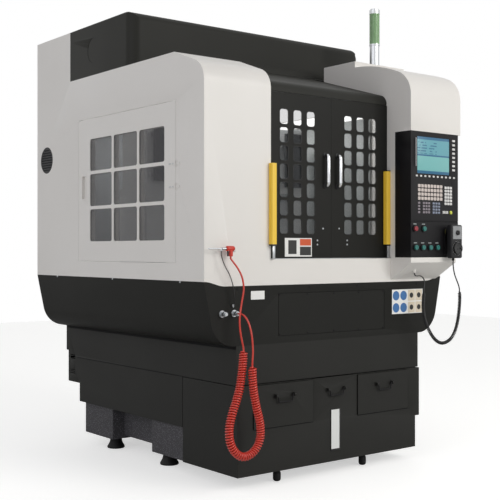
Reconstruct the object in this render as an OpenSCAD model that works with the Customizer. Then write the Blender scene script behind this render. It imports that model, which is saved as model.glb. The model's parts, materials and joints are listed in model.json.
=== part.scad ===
// A bridge-type engraving machine in its enclosure, in millimetres.
// X runs across the front, to the right. Depth runs from the white front face to the rear.
// Z is height above the floor. Modules work in depths from the front face, and in_place()
// sets that face so that the whole machine is centred on the origin.

/* [Enclosure] */
// Width over the side panels
housing_w = 1470; // [1440:10:1520]
// Depth from the white front face to the rear panel
housing_d = 1552; // [1500:4:1640]
// Thickness of the sheet panels
sheet = 3; // [2:0.5:4]
// Height of the lower edge of the side panels
side_base_z = 897; // [890:1:905]
// Height of the lower edge of the white front
front_base_z = 876; // [860:1:888]
// Height of the door sill
sill_z = 990; // [970:1:1010]
// Height of the flat shoulder behind the rounded front
shoulder_z = 1888; // [1870:1:1900]
// Radius of the rounded top of the front
front_r = 100; // [60:5:120]
// Slope of the shoulder behind that radius, in degrees
front_slope = 20; // [15:1:25]
// Height of the roof
roof_z = 2137; // [2110:1:2200]
// Depth at which the roof box begins
roof_front = 573; // [560:1:600]
// Height of the lower edge of the roof box in front
roof_base_z = 1940; // [1935:1:1960]
// Depth at which the left side panel rises to the roof
left_rise = 1176; // [1100:1:1250]
// Depth at which the right side panel rises to the roof
right_rise = 1300; // [1250:1:1350]
// Height of the right side panel under the open slot
right_top_z = 1806; // [1790:1:1830]
// Rounding of the roof box at its front corners, seen from above
roof_r = 60; // [30:5:70]
// Rounding of the front edge of the roof box
roof_edge_r = 45; // [20:5:60]

/* [Doors] */
// Width of the door opening
opening_w = 752; // [740:2:760]
// Depth of the outer face of the door leaves
door_plane = 30; // [28:1:34]
// Height of the top of the door leaves
door_top_z = 1733; // [1728:1:1734]
// Slope of the header above the doors, in degrees
header_slope = 16.5; // [15:0.5:18]
// Radius of the header's lower bend
header_r = 50; // [40:5:60]
// Width of one door window
window_w = 50; // [40:1:56]
// Height of one door window
window_h = 69; // [60:1:72]
// Corner radius of a door window
window_r = 14; // [6:1:18]
// Distance from the middle of the opening to the nearest windows
window_x = 117; // [100:1:120]
// Distance between the columns of windows
column_pitch = 80; // [70:1:84]
// Distance between the rows of windows
row_pitch = 81.5; // [78:0.5:83]
// Height of the middle of the lowest windows
window_z = 1137; // [1120:0.5:1140]
// Place of the split between the two doors, right of the middle
split_x = 10; // [0:1:14]
// Distance of a door handle from that split
handle_x = 38; // [30:1:45]
// Height of the middle of the door handles
handle_z = 1397; // [1300:1:1450]
// Length of a door handle
handle_l = 160; // [120:2:200]
// Diameter of a door handle
handle_dia = 18; // [12:1:20]

/* [Side door] */
// Depth of the hinged edge of the side door
side_door_y = 212; // [206:1:220]
// Width of the side door
side_door_w = 877; // [860:1:890]
// Height of the lower edge of the side door
side_door_z = 976; // [970:1:985]
// Height of the side door
side_door_h = 700; // [690:1:720]
// Width of one cell of the side window
cell_w = 211; // [180:1:215]
// Height of one cell of the side window
cell_h = 157; // [140:1:160]
// Width of the upright bars of the side window
bar_w = 18; // [12:1:24]
// Height of the level bars of the side window
bar_h = 16; // [10:1:20]

/* [Belt and lower body] */
// Width of the lower body
body_w = 1134; // [1126:2:1140]
// Height of the underside of the belt
belt_z = 620; // [610:1:640]
// Height of the seam between the skirt and the tank
seam_z = 451; // [445:1:460]
// Height of the lower edge of the side skirts
skirt_z = 218; // [216:1:230]
// Radius of the rounded underside of the belt
belt_r = 125; // [100:5:130]
// Slant of the sides of the belt from upright, in degrees
belt_slant = 11; // [10:0.5:12]

/* [Tank and drawers] */
// Depth of the tank, from its front to its back
tank_d = 414; // [400:1:414]
// How far the tank's front stands out of the white front face
tank_proud = 9; // [6:1:12]
// Height of the underside of the tank and of the base casting
floor_gap = 59; // [58:1:70]
// Height of the floor of the drawer bays
bay_z = 256; // [245:1:265]
// Width of a drawer front
drawer_w = 340; // [325:1:345]
// Distance from a side of the lower body to the drawer front beside it
drawer_inset = 86; // [80:1:92]
// How far a drawer front stands out of the tank's front
drawer_proud = 4; // [4:1:8]

/* [Console] */
// Width of the console box
console_w = 341; // [330:1:345]
// Depth of the console box
console_d = 103; // [95:1:110]
// Height of the underside of the console box
console_z = 994; // [992:1:998]
// Height of the console box
console_h = 605; // [600:1:615]
// How far the hood and the console stand out of the front face
hood_proud = 130; // [125:1:140]
// Height of the split between the screen unit and the operator panel
split_z = 1170; // [1165:1:1180]
// Diameter of the head of a push button
button_dia = 28; // [22:1:30]
// Diameter of the stem of a push button
stem_dia = 16; // [12:1:18]

/* [Pendant] */
// Width of the pendant
pendant_w = 80; // [70:1:84]
// Height of the pendant
pendant_h = 163; // [150:1:180]
// How far the front of the handwheel stands out of the white front face
pendant_reach = 199; // [196:1:204]
// Diameter of the handwheel
wheel_dia = 60; // [50:1:64]

/* [Signals] */
// Diameter of the signal lamp
lamp_dia = 55; // [40:1:60]
// Height of the top of the signal lamp
lamp_top_z = 2290; // [2250:1:2350]
// Width of a light curtain
curtain_w = 26; // [22:1:28]

/* [Motion parts] */
// Height of the table top
table_z = 960; // [940:1:980]
// Width of the table
table_w = 600; // [500:10:640]
// Depth of the table
table_d = 440; // [400:10:460]
// Width of a T slot's mouth
slot_w = 14; // [10:1:18]
// Diameter of the spindle shaft
shaft_dia = 40; // [30:1:50]
// Diameter of the spindle housing
housing_dia = 110; // [100:1:120]
// Depth of the spindle axis behind the front face
spindle_y = 640; // [630:1:650]

/* [Cords] */
// Diameter of the air hose
hose_dia = 8; // [6:0.5:10]
// Outer diameter of the curly part of the air hose
hose_coil_dia = 37; // [30:1:38]
// Diameter of the thin black tube
mist_dia = 4; // [3:0.5:5]
// Diameter of the pendant's cable
cable_dia = 6; // [5:0.5:7]
// Outer diameter of the curly part of the cable
cable_coil_dia = 18; // [16:1:20]

/* [Hidden] */
$fn = 48;

WHITE = "#e6e3df";
CHARCOAL = "#383833";
BLACK = "#1d1c1e";
SILVER = "#b9bbbd";
IRON = "#5a5a5c";
PALE = "#c8cacc";
GLASS = "#8f979c";
RED = "#c83223";
YELLOW = "#ddb83f";
TEAL = "#1f8a84";

half_w = housing_w / 2;
half_body = body_w / 2;
half_open = opening_w / 2;
front_y = (pendant_reach - housing_d) / 2;
inner_x = half_w - sheet;
seat = 0.3;          // gap under a piece that rests on or runs along another
fit = 0.05;          // radial clearance of a stem or a shaft in its bore
seam = 2;            // gap between a cover and the edge of its opening

// Everything is drawn in depths from the white front face.
module in_place() translate([0, front_y, 0]) children();

// A plate in a plane across the machine: its outline is (depth, height), from x to x + t.
module side_plate(points, x, t) translate([x, 0, 0]) rotate([90, 0, 90]) linear_extrude(t) polygon(points);
// A plate facing the front: its outline is (x, height), from depth y to y + t.
module front_plate(y, t) translate([0, y + t, 0]) rotate([90, 0, 0]) linear_extrude(t) children();
// A box between two corners.
module block(low, high) translate(low) cube(high - low);
// A rounded rectangle about its middle.
module round_rect(w, h, r) {
    square([w - 2 * r, h], center = true);
    square([w, h - 2 * r], center = true);
    for (x = [-1, 1], y = [-1, 1]) translate([x * (w / 2 - r), y * (h / 2 - r)]) circle(r);
}
// Round bars along each axis.
module bar_x(p, d, l) translate(p) rotate([0, 90, 0]) cylinder(d = d, h = l);
module bar_y(p, d, l) translate(p) rotate([-90, 0, 0]) cylinder(d = d, h = l);
module bar_z(p, d, l) translate(p) cylinder(d = d, h = l);

// Points along an arc, from angle a0 to angle a1.
function arc(c, r, a0, a1, n) =
    [for (i = [0:n]) let (a = a0 + (a1 - a0) * i / n) [c[0] + r * cos(a), c[1] + r * sin(a)]];
function reversed(p) = [for (i = [len(p) - 1:-1:0]) p[i]];
function mirrored(p) = [for (q = reversed(p)) [-q[0], q[1]]];

// The tube that follows a cord's route, as rings square to it.
function unit(v) = v / norm(v);
function heading(p, i) = unit(p[min(i + 1, len(p) - 1)] - p[max(i - 1, 0)]);
function across(d) = unit(cross(d, abs(d[1]) > 0.9 ? [1, 0, 0] : [0, 1, 0]));
function ring(c, d, r, n) = let (u = across(d), v = cross(d, u))
    [for (k = [0:n - 1]) c + r * (u * cos(360 * k / n) + v * sin(360 * k / n))];
module tube_along(route, dia, sides) {
    last = len(route) - 1;
    points = [for (i = [0:last]) each ring(route[i], heading(route, i), dia / 2, sides)];
    walls = [for (i = [0:last - 1], k = [0:sides - 1]) let (m = (k + 1) % sides)
        [i * sides + k, i * sides + m, (i + 1) * sides + m, (i + 1) * sides + k]];
    ends = [[for (k = [sides - 1:-1:0]) k], [for (k = [0:sides - 1]) last * sides + k]];
    polyhedron(points, concat(walls, ends));
}

// ---------------------------------------------------------------- base and lower body

cast_y = [413, housing_d - 206];  // front and rear of the base casting
cast_top_z = 800;
cast_inset = 13;                  // from the skirt's face to the casting's foot blocks
cast_w = body_w - 2 * cast_inset;
bed_half = cast_w / 2 - 40;       // half the width of the bed on top of the foot blocks
cast_crown = 60;                  // iron left over the cells
core = 190;                       // side of a cell between the ribs
core_pitch_x = 235;
core_pitch_y = 225;
front_foot_y = [cast_y[0], cast_y[0] + 274];
rear_foot_y = [cast_y[1] - 286, cast_y[1]];
foot_x = half_body - 77;
base_feet_y = [632, housing_d - 415];
foot_dia = 90;
tank_feet_x = [-half_body + 264, half_body - 338];
tank_feet_y = [48, 345];
tank_foot_dia = 36;
tank_foot_r = 13;                 // rounding of a tank foot at the floor
tank_foot_neck = 12;              // radius of its neck, and the heights where the cone up to it runs
tank_foot_cone = [36, 48];

bed_y = [cast_y[0] + 7, cast_y[1] - 6];
module base_casting() color(IRON) in_place() difference() {
    middle_y = (bed_y[0] + bed_y[1]) / 2;
    union() {
        for (y = [front_foot_y, rear_foot_y])
            block([-cast_w / 2, y[0], floor_gap], [cast_w / 2, y[1], skirt_z]);
        block([-bed_half + 30, front_foot_y[0] + 1, floor_gap + 14],
              [bed_half - 30, rear_foot_y[1] - 1, skirt_z]);
        block([-bed_half, bed_y[0], skirt_z - 1], [bed_half, bed_y[1], cast_top_z]);
    }
    // open cells between ribs, from below
    for (i = [-1.5:1.5], k = [-1.5:1.5])
        translate([i * core_pitch_x, middle_y + k * core_pitch_y, 0])
            block([-core / 2, -core / 2, floor_gap - 1], [core / 2, core / 2, cast_top_z - cast_crown]);
}

module foot(x, y, dia, top) {
    bar_z([x, y, 0], dia, 16);
    bar_z([x, y, 16], dia * 0.72, 10);
    bar_z([x, y, 26], dia * 0.4, top - 26);
}
module round_foot(x, y) {
    translate([x, y, 0]) rotate_extrude() polygon(concat(
        [[0, 0]], arc([tank_foot_dia / 2 - tank_foot_r, tank_foot_r], tank_foot_r, -90, 0, 6),
        [[tank_foot_dia / 2, tank_foot_cone[0]], [tank_foot_neck, tank_foot_cone[1]],
         [tank_foot_neck, floor_gap], [0, floor_gap]]));
}
module feet() color(BLACK) in_place() {
    for (x = [-foot_x, foot_x], y = base_feet_y) foot(x, y, foot_dia, floor_gap);
    for (x = tank_feet_x, y = tank_feet_y) round_foot(x, y);
}

tank_top_z = seam_z - sheet;
tank_front = -tank_proud;
tank_back = tank_front + tank_d;
tank_right_inset = 28;            // the lower right side stands back under the upper one
tank_step_z = 212;
bay_side = 3;                     // gap from a drawer front to the side of its bay
left_drawer_x0 = -half_body + drawer_inset;
right_drawer_x0 = half_body - drawer_inset - drawer_w;
left_bay = [left_drawer_x0 - bay_side, left_drawer_x0 + drawer_w + bay_side];
right_bay = [right_drawer_x0 - bay_side, right_drawer_x0 + drawer_w + bay_side];

tank_handle_x = (left_bay[1] + right_bay[0]) / 2;
gauge_x = [tank_handle_x - 30, tank_handle_x + 29];
gauge_z = [floor_gap + 49, floor_gap + 239];
gauge_t = 4;
gauge_rim = [12, 14];             // width of the gauge's rim at its sides and at its ends
handle_top_z = tank_top_z - 56;   // axis of every drop handle
handle_off = 11;                  // from a front face out to that axis
lug_x = 52;                       // from the middle of a drop handle to its lugs
lug_t = 10;
lug_h = 16;
wire_dia = 6;
bend_dia = 7;                     // the wire is a little thicker where it is bent
drop_x = [lug_x - lug_t / 2 - bend_dia / 2 - 0.5, 38]; // from the middle to the bends of the wire, above and below
drop = 28;

// Two lugs with a bore each, that carry a drop handle on a front face at depth y.
module handle_lugs(x, y) for (s = [-1, 1])
    translate([x + s * lug_x, y - handle_off, handle_top_z]) difference() {
        union() {
            block([-lug_t / 2, 0, -lug_h / 2], [lug_t / 2, handle_off + 1, lug_h / 2]);
            bar_x([-lug_t / 2, 0, 0], lug_h, lug_t);
        }
        bar_x([-lug_t / 2 - 1, 0, 0], wire_dia + 2 * fit, lug_t + 2);
    }
// A bent wire handle that hangs from its two lugs.
module drop_handle(x, y) translate([x, y - handle_off, handle_top_z]) {
    pin_end = lug_x + lug_t / 2 + 2;
    lean = atan((drop_x[0] - drop_x[1]) / drop);
    side_l = drop / cos(lean);
    for (s = [-1, 1]) {
        bar_x([s > 0 ? drop_x[0] : -pin_end, 0, 0], wire_dia, pin_end - drop_x[0]);
        translate([s * drop_x[0], 0, 0]) rotate([0, s * lean, 0]) bar_z([0, 0, -side_l], wire_dia, side_l);
        translate([s * drop_x[0], 0, 0]) sphere(d = bend_dia);
        translate([s * drop_x[1], 0, -drop]) sphere(d = bend_dia);
    }
    bar_x([-drop_x[1], 0, -drop], wire_dia, 2 * drop_x[1]);
}

module coolant_tank() color(CHARCOAL) in_place() {
    difference() {
        union() {
            block([-half_body, tank_front, floor_gap], [half_body - tank_right_inset, tank_back, tank_top_z]);
            block([-half_body, tank_front, tank_step_z], [half_body, tank_back, tank_top_z]);
        }
        // the basin under the bays
        block([-half_body + sheet, tank_front + sheet, floor_gap + sheet],
              [half_body - tank_right_inset - sheet, tank_back - sheet, bay_z - sheet]);
        // the drawer bays, open in front
        for (b = [left_bay, right_bay])
            block([b[0], tank_front - 1, bay_z], [b[1], tank_back - sheet, tank_top_z - sheet]);
        // the pump space in the middle column, open on top
        block([left_bay[1] + sheet, tank_front + sheet, bay_z],
              [right_bay[0] - sheet, tank_back - sheet, tank_top_z + 1]);
        // the hollow sides
        block([-half_body + sheet, tank_front + sheet, bay_z],
              [left_bay[0] - sheet, tank_back - sheet, tank_top_z - sheet]);
        block([right_bay[1] + sheet, tank_front + sheet, bay_z],
              [half_body - sheet, tank_back - sheet, tank_top_z - sheet]);
        // drains from the bays and openings to the basin
        for (b = [left_bay, right_bay])
            block([b[0] + 60, tank_front + 60, bay_z - 4], [b[1] - 60, tank_back - 60, bay_z + 1]);
        block([left_bay[1] + 20, tank_front + 60, bay_z - 4], [right_bay[0] - 20, tank_back - 60, bay_z + 1]);
    }
    handle_lugs(tank_handle_x, tank_front);
}

module level_gauge() color("#e9eae8") in_place() difference() {
    block([gauge_x[0], tank_front - gauge_t, gauge_z[0]], [gauge_x[1], tank_front, gauge_z[1]]);
    block([gauge_x[0] + gauge_rim[0], tank_front - gauge_t - 1, gauge_z[0] + gauge_rim[1]],
          [gauge_x[1] - gauge_rim[0], tank_front - gauge_t / 2, gauge_z[1] - gauge_rim[1]]);
}

module tank_handle() color(BLACK) in_place() drop_handle(tank_handle_x, tank_front);

drawer_front = tank_front - drawer_proud;
module drawer(x0) {
    x1 = x0 + drawer_w;
    run = 7;                      // from the front's side to the tray's side
    block([x0, drawer_front, bay_z + seat], [x1, drawer_front + sheet, tank_top_z - 4]);
    for (x = [x0, x1 - sheet])
        block([x, drawer_front, bay_z + seat], [x + sheet, tank_front - seat, tank_top_z - 4]);
    for (z = [bay_z + seat, tank_top_z - 4 - sheet])
        block([x0, drawer_front, z], [x1, tank_front - seat, z + sheet]);
    difference() {
        block([x0 + run, drawer_front, bay_z + seat], [x1 - run, tank_back - 20, bay_z + 150]);
        block([x0 + run + sheet, drawer_front + sheet, bay_z + seat + sheet],
              [x1 - run - sheet, tank_back - 20 - sheet, bay_z + 151]);
    }
    handle_lugs((x0 + x1) / 2, drawer_front);
}
module left_drawer() color(CHARCOAL) in_place() drawer(left_drawer_x0);
module right_drawer() color(CHARCOAL) in_place() drawer(right_drawer_x0);
module left_drawer_handle() color(BLACK) in_place() drop_handle(left_drawer_x0 + drawer_w / 2, drawer_front);
module right_drawer_handle() color(BLACK) in_place() drop_handle(right_drawer_x0 + drawer_w / 2, drawer_front);

// The stepped side outline of the skirt, shrunk by t for its inside.
skirt_back = housing_d - 12;
skirt_steps = [[skirt_back - 23, 483], [skirt_back - 150, 315]];   // depth behind each step, and its height
skirt_front_y = tank_back + 3;
function skirt_outline(t) = [
    [t, seam_z - (t > 0 ? 1 : 0)], [t, belt_z + (t > 0 ? 1 : 0)],
    [skirt_back - t, belt_z + (t > 0 ? 1 : 0)], [skirt_back - t, skirt_steps[0][1] + t],
    [skirt_steps[0][0] - t, skirt_steps[0][1] + t], [skirt_steps[0][0] - t, skirt_steps[1][1] + t],
    [skirt_steps[1][0] - t, skirt_steps[1][1] + t], [skirt_steps[1][0] - t, skirt_z - (t > 0 ? 1 : 0)],
    [skirt_front_y + t, skirt_z - (t > 0 ? 1 : 0)], [skirt_front_y + t, seam_z - (t > 0 ? 1 : 0)]];
skirt_flange = 40;                // inward flange that the skirt stands on the casting with
skirt_louvre_y = skirt_back - 100;
skirt_louvre_z = [360, 440];
louvre_pitch = 9;
louvre_w = 50;
louvre_h = 4;
module skirt() color(CHARCOAL) in_place() difference() {
    union() {
        difference() {
            side_plate(skirt_outline(0), -half_body, body_w);
            side_plate(skirt_outline(sheet), -half_body + sheet, body_w - 2 * sheet);
        }
        for (s = [-1, 1]) translate([s * (half_body - skirt_flange / 2), 0, 0])
            block([-skirt_flange / 2, skirt_front_y, skirt_z],
                  [skirt_flange / 2, skirt_steps[1][0], skirt_z + sheet]);
    }
    // louvres near the rear steps
    for (z = skirt_louvre_z, s = [-1, 1], i = [0:2])
        translate([s * half_body, skirt_louvre_y, z + i * louvre_pitch])
        block([-sheet - 1, 0, 0], [sheet + 1, louvre_w, louvre_h]);
}

// The right half of the belt's section, shrunk by t: down the slanted side and round under it.
belt_arc_x = half_body + 9;
function belt_half(t) = concat(
    [[half_w - t, side_base_z + (t > 0 ? 1 : 0)], [half_w - t - 8, side_base_z - 42]],
    reversed(arc([belt_arc_x, belt_z + belt_r], belt_r - t, -90, -belt_slant, 16)));
module belt_section(t) polygon(concat(belt_half(t), mirrored(belt_half(t))));

// The lower edge of the white front, which rises towards the sides.
curl_w = 110;
curl_n = 14;
function curl_z(s) = front_base_z + (side_base_z - front_base_z) * (1 - cos(180 * s)) / 2;
function curl(x0, d) = [for (i = [0:curl_n]) [x0 + d * curl_w * i / curl_n, curl_z(i / curl_n)]];
front_edge = concat(reversed(curl(-half_w + curl_w, -1)), curl(half_w - curl_w, 1));

cover_x = [-334, 330];
cover_z = [650, 840];
module belt_panel() color(CHARCOAL) in_place() difference() {
    union() {
        difference() {
            front_plate(0, housing_d) belt_section(0);
            front_plate(sheet, housing_d - 2 * sheet) belt_section(sheet);
            block([-half_body + 10, sheet, belt_z - 1], [half_body - 10, housing_d - sheet, belt_z + 5]);
        }
        // the ledge that the access cover screws to
        block([cover_x[0] - 15, sheet, cover_z[0] - 15], [cover_x[1] + 15, 2 * sheet, cover_z[1] + 15]);
    }
    block([cover_x[0], -1, cover_z[0]], [cover_x[1], sheet, cover_z[1]]);
    block([cover_x[0] + 15, -1, cover_z[0] + 15], [cover_x[1] - 15, 3 * sheet, cover_z[1] - 15]);
    front_plate(-1, sheet + 1)
        polygon(concat(front_edge, [[half_w, side_base_z + 5], [-half_w, side_base_z + 5]]));
    // holes for the two quick fittings
    for (x = port_x) bar_y([x, -1, port_z], port_stem_dia, 12);
}
module access_cover() color(CHARCOAL) in_place()
    block([cover_x[0] + seam, 0, cover_z[0] + seam], [cover_x[1] - seam, sheet, cover_z[1] - seam]);

// ---------------------------------------------------------------- white enclosure

// The rounded front and the slope up to the shoulder, as (depth, height).
front_bend = 90 - front_slope;
shoulder_y = 224;
front_arc_z = shoulder_z - (shoulder_y - front_r * (1 - cos(front_bend))) * tan(front_slope)
    - front_r * sin(front_bend);
function front_outline(t) = concat(
    [for (i = [0:14]) let (a = 180 - front_bend * i / 14)
        [front_r + (front_r - t) * cos(a), front_arc_z + (front_r - t) * sin(a)]],
    [[shoulder_y + t * 0.2, shoulder_z - t]]);

grille_y = housing_d - 111;
grille_z = 1505;
grille_dia = 140;

side_wall = concat(
    [[0, side_base_z]], front_outline(0),
    [[left_rise, shoulder_z], [left_rise, roof_z], [housing_d, roof_z], [housing_d, side_base_z]]);

hinge_x = -half_w - 4.3;          // axis of the side door's hinges
hinge_y = side_door_y - 3;
hinge_zs = [1304, 1404];
knuckle_dia = 8;
pin_dia = 4;

module left_side_panel() color(WHITE) in_place() {
    difference() {
        side_plate(side_wall, -half_w, sheet);
        block([-half_w - 1, side_door_y - seam, side_door_z - seam],
              [-half_w + sheet + 1, side_door_y + side_door_w + seam, side_door_z + side_door_h + seam]);
        bar_x([-half_w - 1, grille_y, grille_z], grille_dia, sheet + 2);
    }
    // the fixed leaves of the strap hinges with their pins
    for (z = hinge_zs) {
        block([-half_w - 3, side_door_y - 34, z - 5], [-half_w, side_door_y - 8, z + 5]);
        for (k = [z - 14, z + 7.3]) {
            bar_z([hinge_x, hinge_y, k], knuckle_dia, 6.7);
            block([-half_w - 3, side_door_y - 14, k], [-half_w, side_door_y - 3, k + 6.7]);
        }
        block([-half_w - 3, side_door_y - 14, z - 14], [-half_w, side_door_y - 8, z + 14]);
        bar_z([hinge_x, hinge_y, z - 14], pin_dia, 28);
    }
}

side_window_z = 1072.6;           // lower edge of the lowest cells
side_window_y = 300.5;            // front edge of the first cells
cell_r = 12;                      // corner radius of the cells
pull_y = 1030;
pull_z = 1340;
module side_window() for (i = [0:2], k = [0:2])
    translate([side_window_y + cell_w / 2 + i * (cell_w + bar_w),
               side_window_z + cell_h / 2 + k * (cell_h + bar_h)])
        round_rect(cell_w, cell_h, cell_r);
module side_door() color(WHITE) in_place() {
    y0 = side_door_y;
    y1 = side_door_y + side_door_w;
    z0 = side_door_z;
    z1 = side_door_z + side_door_h;
    difference() {
        block([-half_w, y0, z0], [-half_w + 20, y1, z1]);
        block([-half_w + sheet, y0 + sheet, z0 + sheet], [-half_w + 21, y1 - sheet, z1 - sheet]);
        translate([-half_w - 1, 0, 0]) rotate([90, 0, 90]) linear_extrude(sheet + 2) side_window();
        // the opening of the flush pull
        block([-half_w - 1, pull_y - 17, pull_z - 56], [-half_w + sheet + 1, pull_y + 17, pull_z + 56]);
    }
    // the dish of the flush pull, with its raised rim
    difference() {
        block([-half_w - 1.5, pull_y - 22, pull_z - 62], [-half_w + 14, pull_y + 22, pull_z + 62]);
        block([-half_w - 2, pull_y - 17, pull_z - 56], [-half_w + 12, pull_y + 17, pull_z + 56]);
    }
    // the moving leaves of the strap hinges
    for (z = hinge_zs) difference() {
        union() {
            block([-half_w - 3, side_door_y + 1, z - 5], [-half_w, side_door_y + 51, z + 5]);
            bar_z([hinge_x, hinge_y, z - 7], knuckle_dia, 14);
            block([hinge_x - 1, hinge_y, z - 5], [-half_w, side_door_y + 6, z + 5]);
        }
        bar_z([hinge_x, hinge_y, z - 8], pin_dia + 2 * fit, 16);
    }
}
module side_door_pane() color(GLASS, 0.4) in_place() {
    w = 3 * cell_w + 2 * bar_w;
    h = 3 * cell_h + 2 * bar_h;
    block([-half_w + sheet, side_window_y - 12, side_window_z - 12],
          [-half_w + sheet + 4, side_window_y + w + 12, side_window_z + h + 12]);
}

module vent_grille() color(BLACK) in_place() difference() {
    union() {
        bar_x([-half_w + 1, grille_y, grille_z], grille_dia - 1, sheet - 1);
        bar_x([-half_w + sheet, grille_y, grille_z], grille_dia + 16, 2);
    }
    for (i = [-4:4]) {
        reach = sqrt(pow(grille_dia / 2 - 8, 2) - pow(i * 13 + 3, 2));
        translate([-half_w, grille_y, grille_z + i * 13]) block([0, -reach, -3], [sheet + 3, reach, 3]);
    }
}

module right_side_panel() color(WHITE) in_place() side_plate([
    [hood_back + seam, side_base_z], [hood_back + seam, right_top_z], [right_rise, right_top_z],
    [right_rise, roof_z], [housing_d, roof_z], [housing_d, side_base_z]], inner_x, sheet);

rear_louvre_x = 420;
rear_louvre_z = 1900;
rear_louvre_pitch = 20;
module rear_panel() color(WHITE) in_place() difference() {
    block([-inner_x, housing_d - sheet, side_base_z], [inner_x, housing_d, roof_z - sheet]);
    // slots of two louvre fields
    for (x = [-rear_louvre_x, rear_louvre_x], i = [0:8])
        translate([x, housing_d, rear_louvre_z + i * rear_louvre_pitch])
            block([-110, -sheet - 1, 0], [110, 1, 8]);
}

sill_depth = 60;
gun_x = -half_w + 116;
gun_y = -30;
gun_z = 1036;
barrel_dia = 22;
tab_x = gun_x + 11;               // the tab under the air gun, its width and its reach
tab_w = 8;
tab_reach = 44;
module front_panel() color(WHITE) in_place() {
    ledge_z = sill_z - sheet;
    // the face under the sill
    front_plate(0, sheet) polygon(concat(
        [for (p = front_edge) if (abs(p[0]) < inner_x) p],
        [[inner_x, side_base_z], [inner_x, sill_z], [-inner_x, sill_z], [-inner_x, side_base_z]]));
    // the left column, up and over its rounded top
    side_plate(concat([[0, ledge_z]], front_outline(0),
        [[roof_front, shoulder_z], [roof_front, shoulder_z - sheet]],
        reversed(front_outline(sheet)), [[sheet, ledge_z]]), -inner_x, inner_x - half_open);
    // the return at the opening, down to the door's plane
    side_plate(concat([[0, ledge_z]], front_outline(0),
        [[header_y(shoulder_z - sheet), shoulder_z], [header_y(shoulder_z - sheet), shoulder_z - sheet],
         [header_bend_y, header_bend_z], [door_plane - 4, header_z], [door_plane - 4, ledge_z]]),
        -half_open - sheet, sheet);
    // the ledge behind the sill
    block([-inner_x, 0, ledge_z], [inner_x, sill_depth, sill_z]);
    // the tab that the air gun lies on, with its upright end
    tab_z = gun_z - barrel_dia / 2 - seat;
    block([tab_x, -tab_reach, tab_z - sheet], [tab_x + tab_w, sheet, tab_z]);
    block([tab_x, -tab_reach - sheet, tab_z - sheet], [tab_x + tab_w, -tab_reach, gun_z]);
}

// The header over the doors: a bend and a long slope, as (depth, height).
header_z = door_top_z + 6;
header_bend_y = door_plane - 2 + header_r * (1 - sin(header_slope));
header_bend_z = header_z + header_r * cos(header_slope);
function header_y(z) = header_bend_y + (z - header_bend_z) / tan(header_slope);
function header_top(y) = header_bend_z + (y - header_bend_y) * tan(header_slope);
function header_line(t) = concat(
    [for (i = [0:8]) let (a = 180 - (90 - header_slope) * i / 8)
        [door_plane - 2 + header_r + (header_r - t) * cos(a), header_z + (header_r - t) * sin(a)]],
    [[roof_front, header_top(roof_front) - t / cos(header_slope)]]);
module door_header() color(CHARCOAL) in_place() {
    side_plate(concat(header_line(0), reversed(header_line(sheet))), -half_open, opening_w);
    // the lower flange over the door rail
    block([-half_open, door_plane - 2, header_z - 5], [half_open, sill_depth, header_z - 2]);
    block([-half_open, door_plane - 2, header_z - 5], [half_open, door_plane - 2 + sheet, header_z + 0.01]);
    // side walls, where the slope stands above the shoulder on the left and the side panel on the right
    side_plate([[header_y(shoulder_z), shoulder_z - sheet], [roof_front, shoulder_z - sheet],
        [roof_front, header_top(roof_front) - 1], [header_y(shoulder_z), shoulder_z - 1]], -half_open, sheet);
    side_plate([[hood_back, right_top_z], [roof_front, right_top_z], [roof_front, header_top(roof_front) - 1],
        [hood_back, header_top(hood_back) - 1]], half_open - sheet, sheet);
    // the flange against the roof box
    block([-half_open, roof_front - sheet, header_top(roof_front) - 6],
          [half_open, roof_front, roof_base_z + 30]);
}

// The roof box, hollow and open below, with a rounded front edge and rounded front corners.
module roof_solid(t) intersection() {
    translate([0, 0, shoulder_z - 1]) linear_extrude(roof_z) roof_plan(t);
    side_plate(concat([[roof_front + t, shoulder_z - 2]],
        arc([roof_front + roof_edge_r, roof_z - roof_edge_r], roof_edge_r - t, 180, 90, 8),
        [[2 * housing_d, roof_z - t], [2 * housing_d, shoulder_z - 2]]), -half_w - 1, housing_w + 2);
}
module roof_plan(t) {
    w = half_w - t;
    r = roof_r - t;
    translate([-w + r, roof_front + t]) square([2 * (w - r), housing_d]);
    translate([-w, roof_front + t + r]) square([2 * w, housing_d]);
    for (s = [-1, 1]) translate([s * (w - r), roof_front + t + r]) circle(r);
}
disc_y = 932;
disc_z = 2010;
disc_dia = 124;
module roof_cover() color(CHARCOAL) in_place() difference() {
    roof_solid(0);
    difference() {
        roof_solid(sheet);
        block([-half_w, housing_d - 2 * sheet, shoulder_z], [half_w, housing_d, roof_z]);
    }
    // behind the rear panel, and beside the panels that rise to the roof
    block([-half_w - 1, housing_d - sheet, shoulder_z - 2], [half_w + 1, 2 * housing_d, roof_z - sheet]);
    block([-half_w - 1, housing_d, shoulder_z - 2], [half_w + 1, 3 * housing_d, roof_z + 1]);
    block([-half_w - 1, left_rise, shoulder_z - 2], [-inner_x, housing_d + 1, roof_z + 1]);
    block([inner_x, right_rise, shoulder_z - 2], [half_w + 1, housing_d + 1, roof_z + 1]);
    // the lower edge: level with the shoulder on the left only
    block([-half_w - 1, roof_front - 1, shoulder_z - 2], [half_w + 1, 2 * housing_d, shoulder_z]);
    block([-half_open, roof_front - 1, shoulder_z - 2], [half_w + 1, 2 * housing_d, roof_base_z]);
    // the shallow round of a knock-out in the left end
    bar_x([-half_w - 1, disc_y, disc_z], disc_dia, 2);
}

// ---------------------------------------------------------------- hood and console

hood_back = 480;
hood_step = 31;
hood_r1 = 130;                    // the tight upper bend, then the long flat one
hood_r2 = 876;
hood_a1 = 68;
hood_a2 = 2;
hood_arc_z = 1769;
hood_mid = [-hood_proud + hood_r1 * (1 - cos(hood_a1)), hood_arc_z + hood_r1 * sin(hood_a1)];
hood_c2 = [hood_mid[0] + hood_r2 * cos(hood_a1), hood_mid[1] - hood_r2 * sin(hood_a1)];
console_back = -hood_proud + console_d;
console_top = console_z + console_h;
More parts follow.
